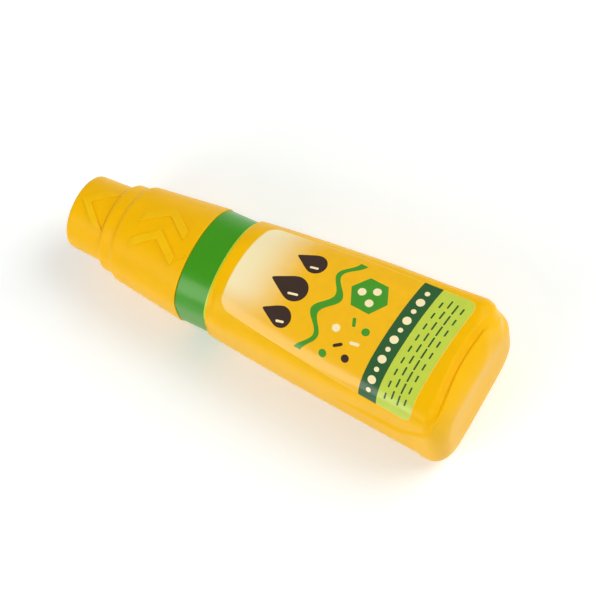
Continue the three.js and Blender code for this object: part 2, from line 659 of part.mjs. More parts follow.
const glueBottle = new THREE.Group();
for (const [name, solid] of Object.entries(solids)) {
  const material = new THREE.MeshStandardMaterial({ ...materials[name], metalness: 0 });
  const mesh = new THREE.Mesh(geometryFrom(solid), material);
  mesh.name = name;
  glueBottle.add(mesh);
}

export default glueBottle;
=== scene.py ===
import json
import math
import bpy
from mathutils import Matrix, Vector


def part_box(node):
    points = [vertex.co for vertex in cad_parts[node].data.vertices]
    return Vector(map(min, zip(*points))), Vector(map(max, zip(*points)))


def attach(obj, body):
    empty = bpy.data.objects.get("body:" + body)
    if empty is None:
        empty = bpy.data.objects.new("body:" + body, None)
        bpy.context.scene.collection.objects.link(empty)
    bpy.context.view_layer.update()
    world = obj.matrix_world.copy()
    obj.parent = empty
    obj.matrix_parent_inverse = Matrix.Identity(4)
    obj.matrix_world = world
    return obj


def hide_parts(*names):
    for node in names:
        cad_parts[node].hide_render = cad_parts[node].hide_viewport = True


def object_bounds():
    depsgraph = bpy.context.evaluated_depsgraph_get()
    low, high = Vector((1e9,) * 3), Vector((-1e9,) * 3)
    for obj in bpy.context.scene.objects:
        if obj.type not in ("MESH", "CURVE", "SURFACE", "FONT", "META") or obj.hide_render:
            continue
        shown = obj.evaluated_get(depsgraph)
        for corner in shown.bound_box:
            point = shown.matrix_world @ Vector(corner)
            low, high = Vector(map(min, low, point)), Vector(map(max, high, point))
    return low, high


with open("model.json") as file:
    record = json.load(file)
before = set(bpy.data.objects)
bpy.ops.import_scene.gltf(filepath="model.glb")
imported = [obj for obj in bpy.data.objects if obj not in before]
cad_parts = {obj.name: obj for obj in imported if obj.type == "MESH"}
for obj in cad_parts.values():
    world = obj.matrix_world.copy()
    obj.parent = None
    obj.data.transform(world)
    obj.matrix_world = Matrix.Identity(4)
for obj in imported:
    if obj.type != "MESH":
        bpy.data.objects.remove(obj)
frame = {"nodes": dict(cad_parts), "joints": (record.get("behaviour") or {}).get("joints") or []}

from types import SimpleNamespace

import bmesh
import bpy
import numpy as np
from bpy.props import FloatProperty, FloatVectorProperty, PointerProperty
from mathutils import Euler, Vector
from mathutils.geometry import delaunay_2d_cdt

bl_info = {
    "name": "Glue bottle",
    "version": (1, 0, 0),
    "blender": (4, 5, 0),
    "location": "3D View > Sidebar > Glue bottle",
    "description": "Fine meshes, finishes, light and camera for a small glue bottle",
    "category": "Object",
}

CAD_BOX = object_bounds()
MM = 0.001
FULL_TURN = 2 * math.pi
QUARTER_TURN = math.pi / 2

# The point on the bottle's axis where the twist cap meets the collar, and the nodes' boxes from the frame
JOINTS = {joint["name"]: joint for joint in frame["joints"]}
AXIS_POINT = Vector(JOINTS["cap_twist"]["pos_m"])
BOX = {name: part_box(name) for name in frame["nodes"]}
SPAN = {name: (high - low) / MM for name, (low, high) in BOX.items()}


def ends_of(node):
    """Front and rear of a node's box along the axis, in millimetres from the joint towards the tip."""
    return tuple((AXIS_POINT.x - point.x) / MM for point in BOX[node])


# Places along the axis, read from the frame
TIP_FRONT, TIP_REAR = ends_of("tip_cap")
SEAT_FRONT, CAP_REAR = ends_of("twist_cap")
SPIGOT_FRONT, COLLAR_REAR = ends_of("collar")
NECK_FRONT, BOTTLE_REAR = ends_of("bottle")
LABEL_TOP, LABEL_FOOT = ends_of("front_label")
SPREADER_FRONT, SPREADER_REAR = ends_of("spreader_tip")
NOZZLE_FRONT, NOZZLE_REAR = ends_of("fine_nozzle")
WAD_FRONT, WAD_REAR = ends_of("cap_wad")

# Places that no box gives: the cap's steps, the collar's seams and the inside of the pieces
CAP_SHOULDER, CAP_RING_REAR, CAP_RING_FRONT, CAP_FRONT = 19.2, 19.8, 22.9, 23.5
CAP_POCKET_END = 11.15
NOZZLE_SHELF, SHELF_GAP = NOZZLE_REAR + 1.5, 0.3
COLLAR_FRONT, DECK_UNDERSIDE = -0.15, -1.65
BOTTLE_FRONT = COLLAR_REAR - 0.3
SEAM_CLOSING = 0.11
BEAD_PLACE, BEAD_HALF, BEAD_LEAD = (NECK_FRONT + BOTTLE_FRONT) / 2, 0.6, 1.2
TIP_INSIDE = TIP_FRONT - 1.6
SOCKET_MOUTH = TIP_INSIDE - 2.2
PIN_END = TIP_INSIDE - 1.8

# Diameters and sections of the hidden round parts, in millimetres
NECK, NECK_BORE, NECK_BEAD = 17.4, 14.6, 18.4
SLEEVE_BORE, BEAD_ROOM = 18.0, 19.0
SPIGOT, SPIGOT_BORE, THREAD_CREST = 16.0, 12.4, 17.8
CAP_BORE, CAP_SLEEVE, CAP_WALL = 18.4, 21.0, 1.4
CAP_THREAD_CREST = 16.6
TIP_SEAT, TIP_BORE = 15.0, 15.6
SHANK_ROOM, FLANGE_ROOM = 6.0, 11.0
NOZZLE_FLANGE, NOZZLE_SHANK, NOZZLE_MOUTH, NOZZLE_BORE = 10.4, 5.4, 2.4, 1.3
SOCKET_OUTSIDE, SOCKET_REAR, SOCKET_FRONT, TIP_PIN = 5.2, 4.0, 3.0, 0.6
WAD_OUTSIDE, WAD_HOLE = 17.8, 2.4
PLUG, SPREADER_FLANGE, SPREADER_CHANNEL = 11.8, 15.0, 3.2
SPREADER_GAP, FLANGE_THICKNESS, SLOT_DEPTH, SLOT_WIDTH = 0.1, 1.2, 2.5, 0.9
THREAD_STARTS, THREAD_LEAD, THREAD_WIDTH, THREAD_MARGIN, THREAD_SINK = 3, 12.0, 1.4, 1.6, 0.4
# Shares of a thread's height and half width, of its length where it fades and of its height at its ends
THREAD_FORM, THREAD_FADE, THREAD_END = ((0.0, 1.0), (0.85, 0.6), (1.0, 0.35)), 1 / 6, 0.25
# A section so small that it stands for a point on the axis
ON_AXIS = 0.1

# Squareness of the sections, flat flanks as a share of the half width, and the fineness of the meshes
ROUND, TOP_SQUARE, BLADE_SQUARE, BASE_SQUARE = 2.0, 2.1, 4.0, 5.0
UNCUT, CUT_FLANK, FADED_FLANK, FLANK_SHARPNESS = 2.0, 0.952, 1.06, 40
SIDES, BOTTLE_SIDES, SMALL_SIDES = 160, 240, 96
EDGE_STEPS, EDGE_LIMIT, EDGE_HOLD = 5, 0.48, 1.3
THREAD_STEPS, ARROW_STEPS, DASH_STEPS, PLATE_STEPS, PLATE_SUNK = 40, 24, 6, 5, 0.3
WALK_TURN, WALK_STEPS = math.radians(150), 301
CREASE_ANGLE = math.radians(34)


def linear(red, green, blue):
    """A colour that is written as it looks on a screen, 0 to 255, as linear light."""
    values = [channel / 255 for channel in (red, green, blue)]
    return tuple(v / 12.92 if v <= 0.04045 else ((v + 0.055) / 1.055) ** 2.4 for v in values)


def length(name, description, millimetres):
    """A length property whose default is given in millimetres."""
    return FloatProperty(name=name, description=description, default=millimetres * MM, unit="LENGTH", min=0,
                         precision=5)


def colour(name, description, *screen):
    """A colour property whose default is given as it looks on a screen."""
    return FloatVectorProperty(name=name, description=description, default=linear(*screen), subtype="COLOR",
                               size=3, min=0, max=1)


def power(name, description, watts):
    return FloatProperty(name=name, description=description, default=watts, unit="POWER", min=0)


def angle(name, description, degrees):
    """An angle property whose default is given in degrees."""
    return FloatProperty(name=name, description=description, default=math.radians(degrees), subtype="ANGLE")


class BottleSizes(bpy.types.PropertyGroup):
    """Outside sizes of the bottle, collar and caps."""

    base_width: length("Base width", "Width of the bottle at its foot", SPAN["bottle"].y)
    depth: length("Bottle depth", "Depth of the bottle from front to back", SPAN["bottle"].z)
    top_width: length("Top width", "Width of the bottle under the collar", 29.7)
    base_edge: length("Base edge", "Radius of the front and back edges of the base", 4.4)
    front_slope: length("Front slope", "How far down the front of the base slopes back", 7.0)
    flank_edge: length("Flank edge", "Radius of the side edges of the base", 4.6)
    panel_top: length("Panel top", "How far the label panel lies in at its top", 0.12)
    panel_foot: length("Panel foot", "How far the label panel lies in behind the rim at the foot", 0.9)
    panel_flank: length("Panel flank", "How far the label panel lies in at the flanks", 0.6)
    collar_width: length("Collar width", "Width of the collar", SPAN["collar"].y)
    collar_depth: length("Collar depth", "Depth of the collar", SPAN["collar"].z)
    cap_width: length("Cap width", "Width of the twist cap at its rear", SPAN["twist_cap"].y)
    cap_depth: length("Cap depth", "Depth of the twist cap at its rear", 24.2)
    cap_shoulder: length("Cap shoulder", "Diameter of the twist cap's shoulder", 23.7)
    cap_ring: length("Cap ring", "Diameter of the ring in front of the shoulder", 21.7)
    tip_rear: length("Tip cap rear", "Diameter of the tip cap's open end", 19.0)
    tip_front: length("Tip cap front", "Diameter of the tip cap's closed end", 18.1)
    arrow_relief: length("Arrow relief", "How far the arrows stand out", 0.35)
    arrow_band: length("Arrow band", "Width of the arrows' bands", 2.4)


class BottleFinishes(bpy.types.PropertyGroup):
    """Colours of the plastics, the printing inks and the glue, and the painted highlight on the collar's rim.
    """

    bottle_yellow: colour("Bottle", "Soft bottle plastic", 248, 188, 4)
    cap_yellow: colour("Caps", "Hard plastic of the caps", 248, 187, 4)
    arrow_yellow: colour("Arrows", "Finely grained tops of the raised arrows", 249, 192, 12)
    collar_green: colour("Collar", "Plastic of the collar", 60, 150, 16)
    # Painted highlight: a pale green that stands in for the light on the collar's rounded rim beside the
    # bottle
    collar_edge: colour("Collar edge", "Thin bright edge of the collar beside the bottle", 196, 226, 48)
    applicator_white: colour("Applicators", "Milky plastic of the spreader and nozzle", 238, 235, 226)
    foam: colour("Foam", "Foam of the wad and the seal", 228, 222, 208)
    glue: colour("Glue", "The glue in the bottle", 236, 230, 208)
    film_edge: colour("Film edge", "Pale edge of the label's clear film", 250, 204, 62)
    cream_ink: colour("Cream ink", "Pale print on the label", 253, 236, 186)
    brown_ink: colour("Brown ink", "Dark print on the label", 58, 38, 28)
    leaf_ink: colour("Leaf ink", "Green print on the label", 66, 152, 34)
    band_ink: colour("Band ink", "Dark green band on the label", 40, 92, 44)
    lime_ink: colour("Lime ink", "Lime block on the label", 196, 214, 70)


class BottleStage(bpy.types.PropertyGroup):
    """Floor, light and camera."""

    floor: colour("Floor", "Pale floor under the bottle", 244, 248, 247)
    camera_azimuth: angle("Camera azimuth", "Turn of the camera round the bottle", 44.40)
    camera_elevation: angle("Camera elevation", "Height of the camera over the floor", 61.63)
    camera_roll: angle("Camera roll", "Tilt of the picture", -16.48)
    camera_distance: FloatProperty(name="Camera distance", description="From the lens to the point aimed at",
                                   default=0.4639, unit="LENGTH")
    camera_aim: FloatVectorProperty(name="Camera aim", description="Point in the middle of the picture",
                                    default=(0.0027, 0.0044, 0.00535), subtype="XYZ", unit="LENGTH",
                                    precision=5)
    camera_lens: FloatProperty(name="Lens", description="Focal length in millimetres on a 36 mm sensor",
                               default=120.0)
    sky: FloatProperty(name="Sky", description="Strength of the sky at the horizon; it is dimmer overhead",
                       default=0.95)
    main: power("Main", "Power of the softbox at the far right", 6.0)
    window: power("Window", "Power of the softbox at the near left", 1.8)
    edge: power("Edge", "Power of the softbox beside the camera", 0.8)


def settings(context):
    """The sizes in millimetres, and the finishes."""
    group = context.scene.glue_sizes
    sizes = {name: getattr(group, name) / MM for name in BottleSizes.__annotations__}
    return SimpleNamespace(**sizes), context.scene.glue_finishes


# Sections, rings and skins

def mixed(a, b, t):
    return a + (b - a) * t


def eased(t):
    t = np.clip(t, 0, 1)
    return t * t * (3 - 2 * t)


def radius_at(section, turn):
    """Distance from the axis to an oval section, in the direction of turn; a quarter turn is the front.

    A section is its width, its depth, its squareness and the share of the half width where its flanks are
    cut flat.
    """
    width, depth, squareness, flank = section
    across = np.abs(np.cos(turn)) * 2 / width
    up = np.abs(np.sin(turn)) * 2 / depth
    oval = (across ** squareness + up ** squareness) ** (FLANK_SHARPNESS / squareness)
    return (oval + (across / flank) ** FLANK_SHARPNESS) ** (-1 / FLANK_SHARPNESS)


def placed(reach, across=0.0, up=0.0):
    """Points in metres from reach, across and up in millimetres about the axis."""
    reach, across, up = np.broadcast_arrays(reach, across, up)
    points = np.stack([-reach, across, up], axis=-1) * MM
    return points + np.array(AXIS_POINT)


def on_section(reach, section, turn, lift=0.0):
    """Points on an oval section, lifted along its normal."""
    width, depth, squareness, flank = section
    radius = radius_at(section, turn)
    across, up = radius * np.cos(turn), radius * np.sin(turn)
    a, b = np.abs(across) * 2 / width, np.abs(up) * 2 / depth
    bend = (a ** squareness + b ** squareness) ** (FLANK_SHARPNESS / squareness - 1)
    side = bend * a ** (squareness - 1) + (a / flank) ** (FLANK_SHARPNESS - 1) / flank
    normal_across = np.sign(across) * side / width
    normal_up = np.sign(up) * bend * b ** (squareness - 1) / depth
    scale = lift / np.hypot(normal_across, normal_up)
    return placed(reach, across + scale * normal_across, up + scale * normal_up)


def turns_round(count):
    return np.arange(count) * FULL_TURN / count


def inside_of(section, wall):
    """The section that lies a wall's thickness inside another."""
    width, depth, *form = section
    return (width - 2 * wall, depth - 2 * wall, *form)


def corner(reach, section, radius=0.0):
    """One corner of a profile; a plain number for its section is the diameter of a round one."""
    full = section if isinstance(section, tuple) else (section, section, ROUND, UNCUT)
    return np.array([reach, *full]), radius


def towards(start, end, distance):
    """A step of that length from one profile corner to another, at most half the way."""
    gap = math.hypot(end[0] - start[0], (end[1] + end[2] - start[1] - start[2]) / 4)
    return mixed(start, end, min(EDGE_LIMIT, distance / gap))


def rounded(corners, closed):
    """Rings of a profile with its corners rounded, and a ring beside each rounding that holds its edge.

    A corner is given as its reach, its section or diameter, and the radius of its rounding if it has one.
    """
    corners = [corner(*entry) for entry in corners]
    stations = []
    last = len(corners) - 1
    for index, (point, radius) in enumerate(corners):
        if radius == 0 or (not closed and index in (0, last)):
            stations.append(point)
            continue
        before = corners[index - 1][0]
        after = corners[(index + 1) % len(corners)][0]
        start, end = towards(point, before, radius), towards(point, after, radius)
        stations.append(towards(point, before, EDGE_HOLD * radius))
        for step in range(EDGE_STEPS + 1):
            t = step / EDGE_STEPS
            stations.append((1 - t) ** 2 * start + 2 * t * (1 - t) * point + t ** 2 * end)
        stations.append(towards(point, after, EDGE_HOLD * radius))
    return stations


def rings_of(stations, sides):
    turns = turns_round(sides)
    return [on_section(reach, section, turns) for reach, *section in stations]


def middles(rings):
    """The middles of the first and the last ring."""
    return [np.mean(rings[k], axis=0) for k in (0, -1)]


class Skin:
    """Points and faces of one piece, with the number of a finish for each face."""

    def __init__(self):
        self.points = []
        self.faces = []
        self.finishes = []

    def add(self, points, faces, finish=0):
        start = len(self.points)
        self.points.extend(map(tuple, points))
        self.faces.extend(tuple(start + index for index in face) for face in faces)
        self.finishes.extend(finish if isinstance(finish, list) else [finish] * len(faces))

    def loft(self, rings, closed=False, ends=(None, None), finish=0):
        """Joins rings of points; closed joins the last to the first, and ends are points that close them."""
        sides = len(rings[0])
        points = [point for ring in rings for point in ring]
        faces = []
        count = len(rings)
        for row in range(count if closed else count - 1):
            here, there = row * sides, (row + 1) % count * sides
            for k in range(sides):
                after = (k + 1) % sides
                faces.append((here + k, here + after, there + after, there + k))
        for end, row in zip(ends, (0, count - 1)):
            if end is None:
                continue
            points.append(end)
            ring = row * sides
            faces += [(len(points) - 1, ring + (k + 1) % sides, ring + k) for k in range(sides)]
        self.add(points, faces, finish)

    def profile(self, corners, closed=True, sides=SIDES, finish=0):
        """A skin round the axis from profile corners; an open profile starts and ends on the axis."""
        stations = rounded(corners, closed)
        if closed:
            self.loft(rings_of(stations, sides), closed=True, finish=finish)
        else:
            middle = [placed(stations[k][0]) for k in (0, -1)]
            self.loft(rings_of(stations[1:-1], sides), ends=middle, finish=finish)
        return self

    def threads(self, root, crest, phase):
        """Helical ridges that fade at both ends."""
        rear, front = THREAD_MARGIN + THREAD_WIDTH / 2, SPIGOT_FRONT - THREAD_MARGIN
        for k in range(THREAD_STARTS):
            rings = []
            for part in np.linspace(0, 1, THREAD_STEPS + 1):
                reach = mixed(rear, front, part)
                turn = FULL_TURN * ((k + phase) / THREAD_STARTS + (reach - rear) / THREAD_LEAD)
                fade = float(eased(min(part, 1 - part) / THREAD_FADE))
                top = mixed(root, crest, mixed(THREAD_END, 1, fade))
                half = [(mixed(root, top, up) / 2, THREAD_WIDTH / 2 * side) for up, side in THREAD_FORM]
                outline = [(radius, -side) for radius, side in half] + half[::-1]
                rings.append([placed(reach + side, radius * math.sin(turn), radius * math.cos(turn))
                              for radius, side in outline])
            self.loft(rings, ends=middles(rings))

    def plate(self, surface, rows, band, relief, bevel=0.14, finish=0):
        """A raised band with bevelled edges over a surface; rows are places, each with its middle across."""
        rings = []
        for index, (along, middle) in enumerate(rows):
            low, high = middle - band / 2, middle + band / 2
            inner = np.linspace(low + bevel, high - bevel, PLATE_STEPS)
            places = np.concatenate([[low, low], inner, [high, high]])
            heights = np.concatenate([[-PLATE_SUNK, relief - bevel], np.full(PLATE_STEPS, relief),
                                      [relief - bevel, -PLATE_SUNK]])
            if index in (0, len(rows) - 1):
                rings.append(surface(along, places, np.full(len(places), -PLATE_SUNK)))
                heights = np.minimum(heights, relief - bevel)
            rings.append(surface(along, places, heights))
        rings[-2], rings[-1] = rings[-1], rings[-2]
        self.loft(rings, ends=middles(rings), finish=finish)

    def build(self, name, body, slot, replaced, finishes):
        """Makes the object, gives it its finishes and ties it to the frame."""
        mesh = bpy.data.meshes.new(name)
        mesh.from_pydata(self.points, [], self.faces)
        for finish in finishes:
            mesh.materials.append(finish)
        mesh.polygons.foreach_set("material_index", self.finishes)
        work = bmesh.new()
        work.from_mesh(mesh)
        bmesh.ops.recalc_face_normals(work, faces=work.faces)
        work.to_mesh(mesh)
        work.free()
        mesh.shade_smooth()
        mesh.set_sharp_from_angle(angle=CREASE_ANGLE)
        piece = bpy.data.objects.new(name, mesh)
        bpy.context.scene.collection.objects.link(piece)
        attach(piece, body)
        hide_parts(replaced)
        return piece


# Finishes

CLOUD_ENDS = (0.3, 0.7)
GLOSS_SPREAD, GRAIN_DEPTH = 0.14, 0.0002


def shade(rgb, factor):
    return tuple(min(1.0, channel * factor) for channel in rgb) + (1.0,)


def feed(tree, node, inputs):
    """Sets a node's inputs, or links those whose value is another node's output."""
    for name, value in inputs.items():
        if isinstance(value, bpy.types.NodeSocket):
            tree.links.new(value, node.inputs[name])
        else:
            node.inputs[name].default_value = value


def add_node(tree, kind, inputs, **options):
    """Adds a node with its options and inputs, and returns its outputs."""
    node = tree.nodes.new("ShaderNode" + kind)
    for name, value in options.items():
        setattr(node, name, value)
    feed(tree, node, inputs)
    return node.outputs


def ramp(tree, source, stops):
    """A ramp over a source, from pairs of a place and a colour."""
    node = tree.nodes.new("ShaderNodeValToRGB")
    for element, (place, tone) in zip(node.color_ramp.elements, stops):
        element.position = place
        element.color = tone
    tree.links.new(source, node.inputs["Fac"])
    return node.outputs["Color"]


class Finish:
    """A procedural plastic, film or foam: mottled colour, uneven gloss and a fine grain."""

    def __init__(self, name, rgb, roughness, mottle=0.05, patch=0.006, grain=0.05, grain_size=0.0004):
        self.material = bpy.data.materials.new(name)
        self.material.use_nodes = True
        self.tree = self.material.node_tree
        self.shader = self.tree.nodes["Principled BSDF"]
        self.place = self.node("TexCoord", {})["Object"]
        tones = shade(rgb, 1 - mottle), shade(rgb, 1 + mottle)
        self.colour = ramp(self.tree, self.noise(patch, 3.0), zip(CLOUD_ENDS, tones))
        gloss = self.node("MapRange", {"To Min": roughness * (1 - GLOSS_SPREAD),
                                       "To Max": roughness * (1 + GLOSS_SPREAD),
                                       "Value": self.noise(patch * 0.35, 4.0)})
        bump = self.node("Bump", {"Strength": grain, "Distance": GRAIN_DEPTH,
                                  "Height": self.noise(grain_size, 2.0)})
        self.set({"Base Color": self.colour, "Roughness": gloss["Result"], "Normal": bump["Normal"]})

    def node(self, kind, inputs, **options):
        return add_node(self.tree, kind, inputs, **options)

    def noise(self, feature, detail):
        return self.node("TexNoise", {"Scale": 1 / feature, "Detail": detail, "Vector": self.place})["Fac"]

    def fade(self, axis, start, end, rgb):
        """Fades the colour along one axis of the piece to another, from start to end in metres."""
        along = self.node("SeparateXYZ", {"Vector": self.place})[axis]
        share = self.node("MapRange", {"From Min": start, "From Max": end, "Value": along},
                          interpolation_type="SMOOTHSTEP")["Result"]
        # A mix of colours has its two colours on inputs 6 and 7 and its result on output 2
        self.colour = self.node("Mix", {"Factor": share, 6: self.colour, 7: shade(rgb, 1.0)},
                                data_type="RGBA")[2]
        return self.set({"Base Color": self.colour})

    def set(self, inputs):
        feed(self.tree, self.shader, inputs)
        return self


# A warm tint and a low level keep the sky's reflection from washing out the yellow
YELLOW_SHINE = {"Specular IOR Level": 0.16, "Specular Tint": (1.0, 0.8, 0.3, 1.0), "Coat Weight": 0.1,
                "Coat Roughness": 0.14, "Coat IOR": 1.35}


def yellow_plastic(name, rgb, roughness, grain, grain_size=0.0004):
    finish = Finish(name, rgb, roughness, mottle=0.02, grain=grain, grain_size=grain_size)
    finish.set({"Subsurface Weight": 0.1, "Subsurface Scale": 0.0015, "Subsurface Radius": (1.0, 0.45, 0.08)})
    return finish.set(YELLOW_SHINE).material


def film_ink(name, rgb):
    finish = Finish(name, rgb, 0.4, mottle=0.03, patch=0.0025, grain=0.03)
    return finish.set({"Specular IOR Level": 0.2, "Coat Weight": 0.6, "Coat Roughness": 0.22})


def foam_rubber(name, rgb):
    return Finish(name, rgb, 0.8, mottle=0.05, patch=0.0012, grain=0.6, grain_size=0.0003).material


# The bottle's outside, which the labels share

PANEL_CORNER = 3.5
PANEL_SLOPE = 1.1
PANEL_START, PANEL_LEAD = BOTTLE_FRONT - 1.0, 2.5
GROOVE_DEPTH, GROOVE_WIDTH = 0.5, 3.4
RIM_LEAN, FAR_RIM_LEAN = math.radians(57), math.radians(42)
RIM_SETBACK, RIM_ARCH, RIM_CORNER = 5.2, 6.0, 3.2
RIM_RISE = 6.0
FAR_CUT_DEPTH = 1.5
ROUND_EDGE, SLOPED_EDGE = 2.0, 1.5
BACK_RIDGE = 1.5
FAR_FLANK = 0.5
# Where forms come in along the bottle, in millimetres towards the tip
FRONT_FADE, FLANK_FADE, RIM_RISES, FAR_CUT = (-16.0, -60.0), (-38.0, -58.0), (-58.0, -70.5), (-64.5, -69.5)
# Where forms come in round the bottle: by the sine of the turn to the front, by its cosine to the far side
FLANK_TO_END, FLANK_TO_SLOPE = (0.35, 0.65), (0.0, 0.7)
NEAR_PANEL, FAR_PANEL, GROOVE_SPAN, CUT_SPAN = (0.3, 0.65), (0.6, 0.85), (0.3, 0.6), (0.1, 0.3)
FAR_HALF, FAR_CORNER = (-0.2, 0.2), (0.55, 0.8)


def between(value, start, end):
    """How far a value lies on the way from start to end, eased and kept from 0 to 1."""
    return eased((value - start) / (end - start))


def bottle_section(sizes, reach):
    """The bottle's section in millimetres; it widens and squares towards its foot."""
    edge_start = BOTTLE_REAR + sizes.base_edge
    down = np.clip((BOTTLE_FRONT - reach) / (BOTTLE_FRONT - edge_start), 0, 1)
    width = mixed(sizes.top_width, sizes.base_width, down)
    return (width, np.full_like(down, sizes.depth), mixed(TOP_SQUARE, BASE_SQUARE, down),
            mixed(CUT_FLANK, FADED_FLANK, down))


def edge_length(sizes, turn):
    """How far the rounding at the foot reaches along the bottle; at the front it ends in an arched rim."""
    high = np.abs(np.sin(turn))
    rim = np.maximum(RIM_CORNER, RIM_SETBACK - RIM_ARCH * (1 - high))
    end = np.where(np.sin(turn) > 0, rim, sizes.base_edge)
    return mixed(sizes.flank_edge, end, between(high, *FLANK_TO_END))


def rim_lean(turn):
    """Where the rim lies on the slope of the foot; it runs lower at the far corner."""
    return mixed(RIM_LEAN, FAR_RIM_LEAN, between(np.cos(turn), *FAR_CORNER))


def panel_depth(sizes, reach, section, turn, from_rim):
    """How far the label panels lie in: behind the rim at the foot, and less towards the collar and flanks.

    A groove follows the rim, and at the far corner the panel's end is rounded off.
    """
    height = np.abs(radius_at(section, turn) * np.sin(turn))
    above = height - RIM_RISE * between(reach, *RIM_RISES)
    from_ridge = reach - BOTTLE_REAR - sizes.base_edge - BACK_RIDGE
    from_end = np.where(np.sin(turn) > 0, from_rim, from_ridge)
    near = PANEL_CORNER - np.clip(np.stack([above, from_end]), 0, PANEL_CORNER)
    inside = np.where(np.minimum(above, from_end) > 0, PANEL_CORNER - np.hypot(*near), 0)
    front = mixed(sizes.panel_top, sizes.panel_foot, between(reach, *FRONT_FADE))
    front = front * between(reach, PANEL_START, PANEL_START - PANEL_LEAD)
    flank = np.where(np.sin(turn) > 0, sizes.panel_flank, 0) * between(reach, *FLANK_FADE)
    high, far = np.abs(np.sin(turn)), between(np.cos(turn), *FAR_HALF)
    share = mixed(between(high, *NEAR_PANEL), between(high, *FAR_PANEL), far)
    groove = GROOVE_DEPTH * between(inside, GROOVE_WIDTH, PANEL_SLOPE)
    groove = groove * between(above - from_end, 0.0, PANEL_CORNER) * between(np.sin(turn), *GROOVE_SPAN)
    depth = (mixed(flank * (1 - FAR_FLANK * far), front, share) + groove) * eased(inside / PANEL_SLOPE)
    cut = between(reach, *FAR_CUT) * between(np.sin(turn), *CUT_SPAN)
    return depth + FAR_CUT_DEPTH * cut * between(np.cos(turn), *FAR_CORNER)


def bottle_surface(sizes, reach, turn, lift):
    """Points on the bottle above its base edge, lifted in millimetres."""
    reach, turn = np.broadcast_arrays(np.asarray(reach, float), np.asarray(turn, float))
    section = bottle_section(sizes, reach)
    edge = edge_length(sizes, turn)
    from_rim = reach - BOTTLE_REAR - edge + edge * (QUARTER_TURN - rim_lean(turn))
    return on_section(reach, section, turn, lift - panel_depth(sizes, reach, section, turn, from_rim))


def bottle_edge(sizes, lean, turn):
    """Points between the base and the sides; lean is 0 at the base, a quarter turn above the rounding."""
    front = between(np.sin(turn), *FLANK_TO_SLOPE)
    bend = mixed(ROUND_EDGE, SLOPED_EDGE, front)
    along, up = max(0.0, math.cos(lean)) ** (2 / bend), math.sin(lean) ** (2 / bend)
    edge = edge_length(sizes, turn)
    drop = mixed(sizes.base_edge, sizes.front_slope, front)
    reach = BOTTLE_REAR + edge * (1 - along)
    inward = mixed(sizes.flank_edge, sizes.front_slope, front)
    width = sizes.base_width - 2 * inward * (1 - up)
    section = (width, sizes.depth - 2 * drop * (1 - up), BASE_SQUARE, FADED_FLANK)
    depth = panel_depth(sizes, reach, section, turn, edge * (lean - rim_lean(turn)))
    return on_section(reach, section, turn, -depth)


def turn_at(section, start, distance):
    """The turn that lies a distance in millimetres round a section from a starting turn."""
    turns = start + np.linspace(0, WALK_TURN, WALK_STEPS) * np.sign(distance)
    radius = radius_at(section, turns)
    across, up = radius * np.cos(turns), radius * np.sin(turns)
    walked = np.concatenate([[0], np.cumsum(np.hypot(np.diff(across), np.diff(up)))])
    return float(np.interp(abs(distance), walked, turns))


